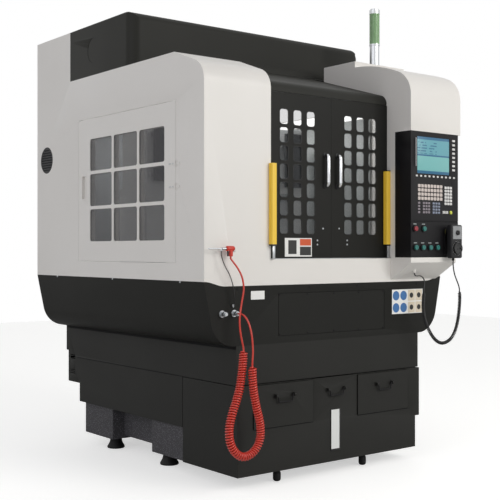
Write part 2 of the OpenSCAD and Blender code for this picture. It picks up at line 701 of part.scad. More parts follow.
// The outside of the hood from its front edge to its rear, shrunk by t, as (depth, height).
function hood_top(t) = concat(
    [for (i = [0:12]) let (a = 180 - hood_a1 * i / 12)
        [-hood_proud + hood_r1 + (hood_r1 - t) * cos(a), hood_arc_z + (hood_r1 - t) * sin(a)]],
    [for (i = [1:12]) let (a = 180 - hood_a1 - (90 - hood_a2 - hood_a1) * i / 12)
        [hood_c2[0] + (hood_r2 - t) * cos(a), hood_c2[1] + (hood_r2 - t) * sin(a)]]);
hood_crown = hood_top(0)[len(hood_top(0)) - 1];
hood_top_z = hood_crown[1] + hood_step;
function hood_step_line(t) = [[hood_crown[0] + t, hood_crown[1] - t * 0.1], [hood_crown[0] + t, hood_top_z - t],
    [hood_back, hood_top_z - t]];

bracket_w = console_w - 17;
bracket_lip = 24;
bracket_foot_z = front_base_z + 10;
gland_x = half_open + 90;
gland_y = -70;
gland_z = 920;
function bracket_under(y) =
    console_z - bracket_lip - (console_z - bracket_lip - bracket_foot_z) * (y + hood_proud) / hood_proud;

module hood() color(WHITE) in_place() {
    x0 = half_open;
    // the skin over the top and down the front, to the top of the console
    side_plate(concat([[-hood_proud, console_top]], hood_top(0), hood_step_line(0),
        reversed(concat([[-hood_proud + sheet, console_top]], hood_top(sheet), hood_step_line(sheet)))),
        x0, half_w - x0);
    // the shelf over the console and the wall behind it
    block([x0, -hood_proud, console_top], [half_w, console_back + sheet, console_top + sheet]);
    block([x0, console_back, console_z], [half_w, console_back + sheet, console_top + sheet]);
    // left wall, down to the header and to the plane of the doors
    side_plate(concat([[-hood_proud, console_top]], hood_top(0), hood_step_line(0),
        [[hood_back, header_top(hood_back) - 6], [header_bend_y, header_bend_z - 6], [door_plane - 4, header_z],
         [door_plane - 4, console_z], [console_back, console_z], [console_back, console_top]]), x0, sheet);
    // right wall
    side_plate(concat([[-hood_proud, console_top]], hood_top(0), hood_step_line(0),
        [[hood_back, side_base_z], [0, side_base_z], [0, console_z], [console_back, console_z],
         [console_back, console_top]]), inner_x, sheet);
    // the floor behind the console's foot
    block([x0, console_back, console_z - sheet], [half_w, 0, console_z]);
    // the bracket under the console: lip, sloped underside and two cheeks
    difference() {
        side_plate([[-hood_proud, console_z], [-hood_proud, console_z - bracket_lip], [0, bracket_foot_z],
            [0, console_z]], x0, bracket_w);
        side_plate([[-hood_proud + sheet, console_z - sheet], [-hood_proud + sheet, console_z - bracket_lip + 1],
            [-1, bracket_foot_z + 4.3], [-1, console_z - sheet]], x0 + sheet, bracket_w - 2 * sheet);
    }
    bar_z([gland_x, gland_y, gland_z], 14, bracket_under(gland_y) + 6 - gland_z);
}

panel_y = -hood_proud;
console_x = [half_open, half_open + console_w];
screen_x = [half_open + 45, half_open + 276];
screen_z = [console_z + 403, console_z + 581];
module console_box() color(BLACK) in_place() {
    wall = sheet;
    difference() {
        block([console_x[0], panel_y, console_z], [console_x[1], console_back, console_top]);
        block([console_x[0] + wall, panel_y + 5, console_z + wall],
              [console_x[1] - wall, console_back - wall, split_z - 2]);
        block([console_x[0] + wall, panel_y + 5, split_z + 2],
              [console_x[1] - wall, console_back - wall, console_top - wall]);
        // the recess that holds the operator panel
        block([console_x[0] + 6, panel_y - 1, console_z + 6], [console_x[1] - 6, panel_y + sheet, split_z - 3]);
        block([console_x[0] + 16, panel_y - 1, console_z + 16], [console_x[1] - 16, panel_y + 6, split_z - 13]);
        // the window for the screen, with a ledge
        block([screen_x[0], panel_y - 1, screen_z[0]], [screen_x[1], panel_y + 4, screen_z[1]]);
        block([screen_x[0] + 6, panel_y - 1, screen_z[0] + 6], [screen_x[1] - 6, panel_y + 6, screen_z[1] - 6]);
        // the fine groove that parts the two units
        block([console_x[0] - 1, panel_y - 1, split_z - 1.5], [console_x[1] + 1, panel_y + 1.5, split_z + 1.5]);
    }
}
module operator_panel() color(BLACK) in_place() difference() {
    union() {
        block([console_x[0] + 7, panel_y, console_z + 7], [console_x[1] - 7, panel_y + sheet, split_z - 4]);
        // the plate that carries the pendant
        block([pendant_x0 + 6, pendant_back, pendant_z + 20],
              [pendant_x0 + pendant_w - 6, panel_y + 1, pendant_z + 120]);
        for (p = button_places) bar_y([p[0], panel_y - 5, p[1]], button_dia + 5, 6);
    }
    for (p = button_places) {
        bar_y([p[0], panel_y - 6, p[1]], button_dia + 1, 6);
        bar_y([p[0], panel_y - 1, p[1]], stem_dia + 2 * fit, 10);
    }
}
// Middles of the push buttons, from the console's lower left corner.
button_rows = [138, 48];
first_buttons_x = [28, 88];
second_buttons_x = 31;
button_pitch = 51;
button_places = concat(
    [for (x = first_buttons_x) [console_x[0] + x, console_z + button_rows[0]]],
    [for (i = [0:3]) [console_x[0] + second_buttons_x + i * button_pitch, console_z + button_rows[1]]]);
cap_reach = 12;                   // from the panel's front to the front of a button's cap
cap_t = 7.5;
stem_l = 20;
module push_button(p) {
    bar_y([p[0], panel_y - cap_reach, p[1]], button_dia, cap_t);
    bar_y([p[0], panel_y - cap_reach + cap_t, p[1]], stem_dia, stem_l);
}
module red_button() color(RED) in_place() push_button(button_places[0]);
module teal_button(i) color(TEAL) in_place() push_button(button_places[i]);

module screen() color("#73b9c8") in_place()
    block([screen_x[0] + 0.5, panel_y + 1, screen_z[0] + 0.5],
          [screen_x[1] - 0.5, panel_y + 4, screen_z[1] - 0.5]);

// Fields of keys from the console's lower left corner: left, right, lower and upper edge.
soft_keys = [34, 316, 387, 396];
side_keys = [297, 317, 424, 579];
letter_keys = [49, 224, 276, 352];
number_keys = [240, 295, 256, 347];
mode_keys = [49, 64, 212, 267];
axis_keys = [83, 134, 212, 267];
jog_keys = [153, 207, 212, 267];
key_t = 2;                        // height of a key cap over the panel
key_base_t = 0.6;                 // thickness of the film under a field, and how far it reaches past it
key_base_edge = 2;
round_key = [285, 220];           // middle of the round key, its diameter and its height
round_key_dia = 18;
round_key_t = 5;
port_cover = [226, 266, 213, 227];
port_cover_t = 1;
// A field of low key caps on its film, with columns, rows and the gap between the caps.
module key_field(f, columns, rows, gap) translate([console_x[0], panel_y, console_z]) {
    w = (f[1] - f[0] + gap) / columns;
    h = (f[3] - f[2] + gap) / rows;
    block([f[0] - key_base_edge, -key_base_t, f[2] - key_base_edge],
          [f[1] + key_base_edge, 0, f[3] + key_base_edge]);
    for (i = [0:columns - 1], k = [0:rows - 1])
        block([f[0] + i * w, -key_t, f[2] + k * h], [f[0] + (i + 1) * w - gap, 0, f[2] + (k + 1) * h - gap]);
}
wide_gap = 17;
side_gap = 10;
key_gap = 4;
module keypads() color("#dfd8d2") in_place() {
    key_field(soft_keys, 10, 1, wide_gap);
    key_field(side_keys, 1, 8, side_gap);
    key_field(letter_keys, 8, 4, key_gap);
    key_field(number_keys, 3, 6, key_gap - 1);
    key_field(mode_keys, 1, 4, key_gap + 1);
    key_field(axis_keys, 3, 4, key_gap);
    key_field(jog_keys, 3, 4, key_gap);
    bar_y([console_x[0] + round_key[0], panel_y - round_key_t, console_z + round_key[1]],
          round_key_dia, round_key_t);
    translate([console_x[0], panel_y, console_z])
        block([port_cover[0], -port_cover_t, port_cover[2]], [port_cover[1], 0, port_cover[3]]);
}

// ---------------------------------------------------------------- pendant

pendant_x0 = half_open + 229;
pendant_z = console_z - 4;
pendant_back = panel_y - 7;
pendant_front = -pendant_reach + 13;
wheel_z = pendant_z + 48;
knob_z = pendant_z + 124;
pendant_x = pendant_x0 + pendant_w / 2;
module pendant_body() color("#2a2a2c") in_place() difference() {
    union() {
        translate([pendant_x, pendant_back, pendant_z + pendant_h / 2]) rotate([90, 0, 0])
            linear_extrude(pendant_back - pendant_front) round_rect(pendant_w, pendant_h, 10);
        bar_z([pendant_x, -160, pendant_z - 12], 13, 14);
    }
    bar_y([pendant_x, pendant_front - 1, wheel_z], 8 + 2 * fit, 21);
    bar_y([pendant_x, pendant_front - 1, knob_z], 6 + 2 * fit, 16);
}
module handwheel() color("#3a3a3c") in_place() {
    difference() {
        bar_y([pendant_x, -pendant_reach + 4, wheel_z], wheel_dia, 8.5);
        bar_y([pendant_x, -pendant_reach + 3, wheel_z], wheel_dia - 12, 3.5);
    }
    bar_y([pendant_x, pendant_front - 1, wheel_z], 8, 18);
    bar_y([pendant_x + wheel_dia / 2 - 11, -pendant_reach, wheel_z], 9, 8);
}
module selector_knob() color(BLACK) in_place() {
    bar_y([pendant_x, pendant_front - 9.5, knob_z], 24, 9);
    block([pendant_x - 3, pendant_front - 12, knob_z - 11], [pendant_x + 3, pendant_front - 5, knob_z + 11]);
    bar_y([pendant_x, pendant_front - 1, knob_z], 6, 13);
}

// ---------------------------------------------------------------- doors

leaf_over = 14;                   // how far a leaf reaches behind the edge of the opening
leaf_gap = 1;                     // gap between the two leaves
pane_edge = [15, 15];             // how far a pane reaches past its windows, sideways and in height
rail_y = [door_plane + sheet + seat, door_plane + 16];
rail_h = 10;
top_rail_z = [door_top_z - 13, header_z - 5];
module door_rails() color(SILVER) in_place() {
    block([-inner_x + 10, rail_y[0], sill_z], [inner_x - 10, rail_y[1], sill_z + rail_h]);
    block([-inner_x + 10, rail_y[0], top_rail_z[0]], [inner_x - 10, rail_y[1], top_rail_z[1]]);
}
module door_windows(s) for (i = [0:2], k = [0:6])
    translate([s * (window_x + i * column_pitch), window_z + k * row_pitch])
        round_rect(window_w, window_h, window_r);
module door_leaf(s) {
    x0 = s > 0 ? split_x + leaf_gap / 2 : -half_open - leaf_over;
    x1 = s > 0 ? half_open + leaf_over : split_x - leaf_gap / 2;
    low = sill_z + rail_h + seat;
    high = top_rail_z[0] - seat;
    front_plate(door_plane, sheet) difference() {
        translate([x0, sill_z + 3]) square([x1 - x0, door_top_z - sill_z - 3]);
        door_windows(s);
    }
    // flanges that run over the lower rail and under the upper one, with their guide lips
    block([x0, door_plane, low], [x1, rail_y[1] + 4, low + sheet]);
    block([x0, door_plane, high - sheet], [x1, rail_y[1] + 4, high]);
    block([x0, rail_y[1] + seat, sill_z + 2], [x1, rail_y[1] + 4, low + sheet]);
    block([x0, rail_y[1] + seat, high - sheet], [x1, rail_y[1] + 4, top_rail_z[1] - 2]);
    for (x = [x0, x1 - sheet]) block([x, door_plane, low], [x + sheet, rail_y[1] + 4, high]);
}
module door_pane(s) {
    half = column_pitch + window_w / 2 + pane_edge[0];
    edge_z = window_h / 2 + pane_edge[1];
    translate([s * (window_x + column_pitch), door_plane + sheet, window_z])
        block([-half, 0, -edge_z], [half, 4, 6 * row_pitch + edge_z]);
}
module door_handle(s) {
    y = door_plane - 32 + handle_dia / 2;
    x = split_x + s * handle_x;
    bar_z([x, y, handle_z - handle_l / 2], handle_dia, handle_l);
    for (k = [-1, 1]) bar_y([x, y, handle_z + k * (handle_l / 2 - 14)], 12, door_plane - y);
}
module left_door() color(CHARCOAL) in_place() door_leaf(-1);
module right_door() color(CHARCOAL) in_place() door_leaf(1);
module left_door_pane() color(GLASS, 0.4) in_place() door_pane(-1);
module right_door_pane() color(GLASS, 0.4) in_place() door_pane(1);
module left_door_handle() color(SILVER) in_place() door_handle(-1);
module right_door_handle() color(SILVER) in_place() door_handle(1);

// ---------------------------------------------------------------- signals and light curtains

lamp_x = 584;
lamp_y = 316;
lens_z = [2106, 2264];
module signal_pole() color(SILVER) in_place() {
    bar_z([lamp_x, lamp_y, hood_top_z], lamp_dia, 6);
    bar_z([lamp_x, lamp_y, hood_top_z + 6], lamp_dia - 5, lens_z[0] - hood_top_z - 14);
    bar_z([lamp_x, lamp_y, lens_z[0] - 8], lamp_dia, 8);
    bar_z([lamp_x, lamp_y, lens_z[1]], lamp_dia, lamp_top_z - lens_z[1] - 6);
    bar_z([lamp_x, lamp_y, lamp_top_z - 6], lamp_dia - 10, 6);
}
module signal_lens() color("#82a073") in_place()
    for (z = [lens_z[0]:26:lens_z[1] - 27]) {
        bar_z([lamp_x, lamp_y, z], lamp_dia - 1, 26);
        bar_z([lamp_x, lamp_y, z + 24], lamp_dia - 3, (lens_z[1] - z > 50) ? 2 : lens_z[1] - z - 24);
    }

left_curtain = [-half_open - curtain_w / 2, -curtain_w];   // lower front corner in plan
right_curtain = [half_open - curtain_w, 1];
left_curtain_z = [sill_z + 58, sill_z + 419];
right_curtain_z = [sill_z + 60, sill_z + 426];
curtain_cap = 5;
cap_inset = 1;
// A light curtain: its housing and two end caps.
module curtain(p, z) translate([p[0], p[1], 0]) {
    block([0, 0, z[0] + curtain_cap], [curtain_w, curtain_w, z[1] - curtain_cap]);
    for (low = [z[0], z[1] - curtain_cap - 1])
        block([cap_inset, cap_inset, low],
              [curtain_w - cap_inset, curtain_w - cap_inset, low + curtain_cap + 1]);
}
// The angle under a curtain, with its foot on the sill.
angle_w = 14;
angle_t = 4;
angle_l = 20;
module curtain_angle(x, y, top) {
    block([x, y, sill_z], [x + angle_w, y + angle_t, top + 1]);
    block([x, y, sill_z], [x + angle_w, y + angle_l, sill_z + angle_t]);
}
module light_curtains() color(YELLOW) in_place() {
    curtain(left_curtain, left_curtain_z);
    curtain(right_curtain, right_curtain_z);
    curtain_angle(-half_open + 0.5, left_curtain[1] + 12, left_curtain_z[0]);
    curtain_angle(right_curtain[0] + 6, right_curtain[1] + 3, right_curtain_z[0]);
}

// ---------------------------------------------------------------- air tools on the left front

port_x = [-half_w + 92, -half_w + 156];
port_z = 761;
port_reach = 33;
port_stem_dia = 14;
module air_ports() color(SILVER) in_place() {
    for (x = port_x) {
        bar_y([x, -3, port_z], 30, 3);
        translate([x, -9, port_z]) rotate([-90, 0, 0]) cylinder(d = 24, h = 6, $fn = 6);
        bar_y([x, -25, port_z], 20, 16);
        bar_y([x, -port_reach, port_z], 15, 8);
        bar_y([x, 0, port_z], port_stem_dia - 1, sheet + 6);
    }
    // grommet of the thin tube
    bar_y([mist_end[0], -3, mist_end[2]], 11, 3);
}

module air_gun() color(RED) in_place() {
    difference() {
        union() {
            bar_x([gun_x - 23, gun_y, gun_z], barrel_dia, 42);
            bar_z([gun_x, gun_y, gun_z - 33], 19, 33);
            block([gun_x - 17, gun_y - 2.5, gun_z - 12], [gun_x - 9, gun_y + 2.5, gun_z - 7]);
        }
        // slot and pin hole of the trigger
        block([gun_x - 20, gun_y - 4, gun_z - 14], [gun_x - 9.4, gun_y + 4, gun_z - 6.5]);
    }
    // the nozzle
    bar_x([gun_x - 45, gun_y, gun_z], 10, 22);
    bar_x([gun_x - 112, gun_y, gun_z], 6, 67);
    bar_x([gun_x - 116, gun_y, gun_z], 4, 4);
    // the tee of the thin tube, and the trigger's pin
    bar_z([mist_start[0], gun_y, mist_start[2]], 7, gun_z - mist_start[2]);
    bar_y([gun_x - 14, gun_y - 6, gun_z - 10], 3, 12);
}
module gun_trigger() color(BLACK) in_place() difference() {
    union() {
        bar_y([gun_x - 14, gun_y - 3.5, gun_z - 10], 6, 7);
        block([gun_x - 17, gun_y - 3.5, gun_z - 32], [gun_x - 13.5, gun_y + 3.5, gun_z - 10]);
    }
    bar_y([gun_x - 14, gun_y - 5, gun_z - 10], 3 + 2 * fit, 10);
}

// ---------------------------------------------------------------- cords

// The routes on the left count X from the left side, and the cable's from the left edge of the console.
module from_left() in_place() translate([-half_w, 0, 0]) children();
module from_console() in_place() translate([half_open, 0, 0]) children();

// The air hose from the right fitting down to its curly part.
hose_from_port = [
    [156, -33, 761], [156, -50, 761], [162, -72, 748], [169, -90, 715],
    [173, -102, 665], [174, -107, 610], [171, -108, 572], [170, -108, 545]];
// The curly part: down, round the loop and up again.
hose_curl = [
    [170, -108, 545], [171, -108, 500], [175, -108, 455], [183, -108, 408],
    [194, -109, 362], [206, -110, 318], [212, -110, 278], [208, -110, 236], [188, -109, 199],
    [157, -107, 178], [121, -104, 174], [90, -101, 192], [68, -98, 224], [60, -95, 262],
    [63, -92, 302], [78, -89, 350], [103, -85, 402], [125, -80, 455],
    [139, -75, 508], [149, -71, 562], [155, -68, 612]];
// From the curly part up to the air gun.
hose_to_gun = [
    [155, -68, 612], [152, -67, 632], [143, -64, 676], [139, -62, 716], [142, -60, 760],
    [154, -58, 815], [164, -57, 866], [158, -54, 914], [141, -47, 952],
    [124, -36, 980], [116, -30, 994], [116, -30, 1003]];
// The thin tube from the nozzle's tee down to its grommet.
mist_start = [-half_w + 67, -30, 1026];
mist_end = [-half_w + 150, 0, 793];
mist_route = [
    [67, -30, 1026], [67, -30, 1010], [74, -31, 986], [87, -33, 958], [105, -35, 928],
    [121, -34, 893], [132, -31, 858], [141, -24, 823], [147, -17, 800], [150, -10, 793],
    [150, -3, 793]];
// The pendant's cable: out of the pendant, its curly loop, and up to the bracket.
cable_from_pendant = [
    [269, -160, 978], [269, -160, 960], [272, -160, 936], [281, -160, 908], [295, -160, 882],
    [308, -160, 859], [315, -160, 840], [316, -160, 828]];
cable_curl = [
    [316, -160, 828], [319, -159, 793], [320, -156, 754], [318, -153, 714],
    [312, -149, 670], [299, -145, 629], [278, -140, 597], [248, -134, 579], [216, -128, 576],
    [186, -121, 591], [161, -114, 620], [141, -107, 658], [127, -101, 700],
    [123, -97, 744], [127, -94, 787], [133, -92, 828]];
cable_to_gland = [
    [133, -92, 828], [136, -91, 845], [140, -90, 868], [138, -88, 887], [128, -85, 900],
    [114, -80, 905], [101, -74, 904], [92, -71, 909], [90, -70, 920]];

module hose_leads() color(RED) from_left() {
    tube_along(hose_from_port, hose_dia, 8);
    tube_along(hose_to_gun, hose_dia, 8);
}
module hose_coil() color(RED) from_left() tube_along(hose_curl, hose_coil_dia, 12);
module mist_tube() color(BLACK) from_left() tube_along(mist_route, mist_dia, 8);
module pendant_leads() color(BLACK) from_console() {
    tube_along(cable_from_pendant, cable_dia, 8);
    tube_along(cable_to_gland, cable_dia, 8);
}
module pendant_coil() color(BLACK) from_console() tube_along(cable_curl, cable_coil_dia, 10);

// ---------------------------------------------------------------- inside

pan_edge_z = 960;
module chip_pan() color(PALE) in_place() {
    drop = cast_top_z - 4;
    for (s = [-1, 1]) front_plate(sill_depth + 10, housing_d - sheet - sill_depth - 10)
        polygon([[s * inner_x, pan_edge_z], [s * inner_x, pan_edge_z - 4], [s * (bed_half + seat), drop],
                 [s * (bed_half + seat), drop + 4]]);
    intersection() {
        side_plate([[sill_depth, sill_z - sheet - seat], [bed_y[0] - seat, drop + 4], [bed_y[0] - seat, drop],
                    [sill_depth, sill_z - sheet - 4.3]], -inner_x, 2 * inner_x);
        front_plate(0, housing_d) polygon([[-inner_x, pan_edge_z + 200], [inner_x, pan_edge_z + 200],
            [inner_x, pan_edge_z - 4], [bed_half, drop], [-bed_half, drop], [-inner_x, pan_edge_z - 4]]);
    }
    // the rear of the pan
    block([-bed_half - 2, bed_y[1] + seat, drop], [bed_half + 2, housing_d - sheet, drop + 4]);
}

bridge_y = [800, 1060];
beam_z = [1340, 1690];
beam_rim = 70;
pocket_w = 190;
pocket_pitch = 230;
leg_x = [400, bed_half];
gusset_x = 460;
x_rail_zs = [1400, 1600];
y_rail_x = 220;
y_rail = [cast_y[0] + 17, cast_y[1] - 16];
rail_size = [20, 20];
module bridge() color(PALE) in_place() {
    for (s = [-1, 1]) block([min(s * leg_x[0], s * leg_x[1]), bridge_y[0], cast_top_z],
                            [max(s * leg_x[0], s * leg_x[1]), bridge_y[1], beam_z[0]]);
    difference() {
        block([-bed_half, bridge_y[0], beam_z[0] - 1], [bed_half, bridge_y[1] - 30, beam_z[1]]);
        // pockets between ribs, from the rear
        for (i = [-1.5:1.5]) translate([i * pocket_pitch, 0, 0])
            block([-pocket_w / 2, bridge_y[0] + 40, beam_z[0] + beam_rim],
                  [pocket_w / 2, bridge_y[1], beam_z[1] - beam_rim]);
    }
    // gussets from the legs to the beam
    for (s = [-1, 1]) side_plate([[bridge_y[1] - 30, beam_z[0]], [bridge_y[1], beam_z[0]],
        [bridge_y[1], beam_z[0] + 60], [bridge_y[1] - 30, beam_z[0] + 200]], s * gusset_x - 30, 60);
}
module guide_rails() color(SILVER) in_place() {
    for (s = [-1, 1]) block([s * y_rail_x - rail_size[0] / 2, y_rail[0], cast_top_z],
                            [s * y_rail_x + rail_size[0] / 2, y_rail[1], cast_top_z + rail_size[1]]);
    for (z = x_rail_zs) block([-bed_half + 10, bridge_y[0] - rail_size[1], z - rail_size[0] / 2],
                              [bed_half - 10, bridge_y[0], z + rail_size[0] / 2]);
}

table_y = [400, 400 + table_d];
truck_y = [590, 770];             // front edges of the trucks on the guide rails
truck = [64, 60];
module table() color("#8d9092") in_place() {
    difference() {
        block([-table_w / 2, table_y[0], table_z - 60], [table_w / 2, table_y[1], table_z]);
        for (k = [-1:1]) {
            y = (table_y[0] + table_y[1]) / 2 + k * 120;
            block([-table_w, y - slot_w / 2, table_z - 14], [table_w, y + slot_w / 2, table_z + 1]);
            block([-table_w, y - slot_w / 2 - 5, table_z - 26], [table_w, y + slot_w / 2 + 5, table_z - 14]);
        }
    }
    // saddle and trucks
    block([-table_w / 2 + 40, truck_y[0] - 10, table_z - 100], [table_w / 2 - 40, table_y[1], table_z - 60]);
    for (s = [-1, 1], y = truck_y) difference() {
        block([s * y_rail_x - truck[0] / 2, y, cast_top_z + 4],
              [s * y_rail_x + truck[0] / 2, y + truck[1], table_z - 100]);
        block([s * y_rail_x - rail_size[0] / 2 - seat, y - 1, cast_top_z + 3],
              [s * y_rail_x + rail_size[0] / 2 + seat, y + truck[1] + 1, cast_top_z + rail_size[1] + seat]);
    }
}

carriage_x = 150;
carriage_y = [733, 765];
carriage_z = [1210, 1670];
way_x = 100;                      // the upright ways of the head
way_w = 20;
way_t = 18;
module carriage() color("#9a9c9e") in_place() {
    block([-carriage_x, carriage_y[0], carriage_z[0]], [carriage_x, carriage_y[1], carriage_z[1]]);
    for (x = [-1, 1], z = x_rail_zs) difference() {
        block([x * 110 - 35, carriage_y[1], z - 24], [x * 110 + 35, bridge_y[0] - 1, z + 24]);
        block([x * 110 - 36, bridge_y[0] - rail_size[1] - seat, z - rail_size[0] / 2 - seat],
              [x * 110 + 36, bridge_y[0], z + rail_size[0] / 2 + seat]);
    }
    // the two ways that the Z head runs on
    for (x = [-way_x, way_x])
        block([x - way_w / 2, carriage_y[0] - way_t, carriage_z[0]],
              [x + way_w / 2, carriage_y[0] + 1, carriage_z[1]]);
}

nose_z = 1210;
head_y = 680;                     // front of the head's plate, its heights and half its width
head_z = [1230, 1560];
head_half = 118;
clamp_half = 80;
clamp_z = [1240, 1440];
motor_l = 340;
bore_l = 150;
collet_l = 50;
tool_l = 50;
module z_head() color("#33343a") in_place() difference() {
    union() {
        block([-way_x + way_w / 2 + seat, head_y, head_z[0]],
              [way_x - way_w / 2 - seat, carriage_y[0] - seat, head_z[1]]);
        block([-head_half, head_y, head_z[0]], [head_half, carriage_y[0] - way_t - seat, head_z[1]]);
        block([-clamp_half, spindle_y - 20, clamp_z[0]], [clamp_half, head_y + 1, clamp_z[1]]);
        bar_z([0, spindle_y, nose_z], housing_dia, motor_l);
        bar_z([0, spindle_y, nose_z + motor_l], housing_dia - 40, 60);
    }
    bar_z([0, spindle_y, nose_z - 1], shaft_dia + 2 * fit, bore_l + 1);
}
module spindle_shaft() color(SILVER) in_place() {
    bar_z([0, spindle_y, nose_z - collet_l / 2], shaft_dia, bore_l + collet_l / 2 - 1);
    translate([0, spindle_y, nose_z - collet_l]) cylinder(d = 34, h = collet_l / 2 + 1, $fn = 6);
    bar_z([0, spindle_y, nose_z - collet_l - tool_l], 8, tool_l + 1);
}

base_casting();
feet();
coolant_tank();
level_gauge();
skirt();
belt_panel();
access_cover();
left_side_panel();
right_side_panel();
front_panel();
rear_panel();
door_header();
roof_cover();
hood();
console_box();
operator_panel();
screen();
keypads();
door_rails();
chip_pan();
bridge();
guide_rails();
signal_pole();
signal_lens();
light_curtains();
vent_grille();
air_ports();
air_gun();
gun_trigger();
hose_leads();
hose_coil();
mist_tube();
pendant_body();
handwheel();
selector_knob();
pendant_leads();
pendant_coil();
left_door();
left_door_pane();
left_door_handle();
right_door();
right_door_pane();
right_door_handle();
side_door();
side_door_pane();
left_drawer();
right_drawer();
left_drawer_handle();
right_drawer_handle();
tank_handle();
table();
carriage();
z_head();
spindle_shaft();
red_button();
teal_button(1);  // teal_button_1
teal_button(2);  // teal_button_2
teal_button(3);  // teal_button_3
teal_button(4);  // teal_button_4
teal_button(5);  // teal_button_5
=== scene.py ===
# %% [markdown]
# # Dressing an enclosed engraving machine
# The frame holds the machine's construction: every panel, door, slide and button at its true size.
# The cells below add what an operator sees and touches: paint, rubber, glass, keys, screws and hoses.
# Everything is in metres, on the frame's own axes: X to the right, Y to the rear and Z up.

# %% Load the frame
import json
import math

import bmesh
import bpy
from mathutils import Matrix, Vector

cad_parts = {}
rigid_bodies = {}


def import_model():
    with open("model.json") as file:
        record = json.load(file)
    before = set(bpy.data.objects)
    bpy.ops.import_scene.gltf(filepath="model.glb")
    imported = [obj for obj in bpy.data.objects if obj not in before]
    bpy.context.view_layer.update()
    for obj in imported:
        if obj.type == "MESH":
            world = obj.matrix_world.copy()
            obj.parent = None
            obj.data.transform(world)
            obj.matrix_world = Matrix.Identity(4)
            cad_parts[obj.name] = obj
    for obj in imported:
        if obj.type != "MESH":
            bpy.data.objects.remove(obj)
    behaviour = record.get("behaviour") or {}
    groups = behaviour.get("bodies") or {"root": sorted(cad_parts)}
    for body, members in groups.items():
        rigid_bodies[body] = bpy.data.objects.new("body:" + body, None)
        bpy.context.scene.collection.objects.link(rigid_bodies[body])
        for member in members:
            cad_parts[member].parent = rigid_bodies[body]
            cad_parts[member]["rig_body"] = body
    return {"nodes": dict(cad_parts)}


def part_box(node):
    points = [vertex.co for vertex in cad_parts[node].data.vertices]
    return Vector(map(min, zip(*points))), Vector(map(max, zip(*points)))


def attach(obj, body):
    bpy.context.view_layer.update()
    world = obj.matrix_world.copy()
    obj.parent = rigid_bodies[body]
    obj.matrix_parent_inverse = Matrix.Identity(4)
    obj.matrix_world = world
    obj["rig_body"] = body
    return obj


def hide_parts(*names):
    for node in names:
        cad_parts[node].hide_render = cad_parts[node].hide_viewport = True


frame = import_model()
nodes = frame["nodes"]
scene = bpy.context.scene
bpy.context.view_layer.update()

# %% [markdown]
# ## Places on the machine
# The construction counts depth from the white front face, because every panel is set out from it.
# One function turns such a place, in millimetres, into a point of the scene. The depth of the front
# face comes from the belt panel, whose own front lies in that plane.

# %% Places
front_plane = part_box("belt_panel")[0].y


def at(x, depth, z):
    """The point x right of the middle, depth behind the white front and z above the floor, in mm."""
    return Vector((x / 1000, front_plane + depth / 1000, z / 1000))


print("front face at y =", round(front_plane, 4))

# %% [markdown]
# ## Camera
# A long lens at chest height, turned to the left side, shows two faces of a boxy machine without
# much stretching. It is held level, so that the uprights of the enclosure stay upright.

# %% Camera
lens = bpy.data.cameras.new("camera")
lens.lens = 69.98
lens.sensor_width = 36
camera = bpy.data.objects.new("camera", lens)
camera.location = (-3.0715, front_plane - 3.2888, 1.030)
camera.rotation_euler = (math.radians(90), 0, math.radians(-38.1))
scene.collection.objects.link(camera)
scene.camera = camera
print("camera", [round(v, 3) for v in camera.location])

# %% [markdown]
# ## Making a piece
# A piece is a plain mesh whose object sits at the origin, as the frame's nodes do. One helper makes
# bmesh work into a piece on a body of the machine; two more draw the shapes that most pieces consist
# of, a box with rounded edges and a turned profile. No sheet, casting or moulding has a knife edge
# and the highlights show it, so even the small boxes are rounded.

# %% Helpers for pieces
FORWARD, RIGHTWARD, UPWARD = (0, -1, 0), (1, 0, 0), (0, 0, 1)


def to_mesh(name, bm):
    """Closes bmesh work into a mesh with its faces turned outwards."""
    bmesh.ops.recalc_face_normals(bm, faces=bm.faces)
    mesh = bpy.data.meshes.new(name)
    bm.to_mesh(mesh)
    bm.free()
    return mesh


def piece(name, shape, material, body, smooth=35):
    """Makes a mesh, or bmesh work, into a piece of the machine that moves with a body."""
    mesh = to_mesh(name, shape) if isinstance(shape, bmesh.types.BMesh) else shape
    obj = bpy.data.objects.new(name, mesh)
    scene.collection.objects.link(obj)
    mesh.shade_smooth()
    mesh.set_sharp_from_angle(angle=math.radians(smooth))
    mesh.materials.clear()
    mesh.materials.append(material)
    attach(obj, body)
    return obj


def add_block(bm, low, high, round_off, steps=2):
    """A box between two corners with rounded edges, in metres; returns the bmesh work."""
    low, high = Vector(low), Vector(high)
    verts = bmesh.ops.create_cube(bm, size=1.0)["verts"]
    for v in verts:
        v.co = Vector([(low[i] + high[i]) / 2 + v.co[i] * (high[i] - low[i]) for i in range(3)])
    edges = list({e for v in verts for e in v.link_edges})
    bmesh.ops.bevel(bm, geom=edges, offset=round_off, segments=steps, profile=0.5, affect="EDGES")
    return bm


def add_turned(bm, profile, base, axis, steps=40):
    """A turned shape: profile is (distance along the axis, radius) in mm, from base along axis."""
    base = Vector(base)
    turn = Vector(UPWARD).rotation_difference(Vector(axis)).to_matrix()
    rings = []
    for along, radius in profile:
        corners = [2 * math.pi * k / steps for k in range(steps)] if radius else [0.0]
        rings.append([bm.verts.new(base + turn @ Vector((
            radius / 1000 * math.cos(a), radius / 1000 * math.sin(a), along / 1000))) for a in corners])
    for a, b in zip(rings, rings[1:]):
        for k in range(steps):
            corners = [a[k % len(a)], a[(k + 1) % len(a)], b[(k + 1) % len(b)], b[k % len(b)]]
            unique = list(dict.fromkeys(corners))
            if len(unique) > 2:
                bm.faces.new(unique)
    for ring, flip in ((rings[0], True), (rings[-1], False)):
        if len(ring) > 1:
            bm.faces.new(reversed(ring) if flip else ring)
    return bm


print("helpers ready")

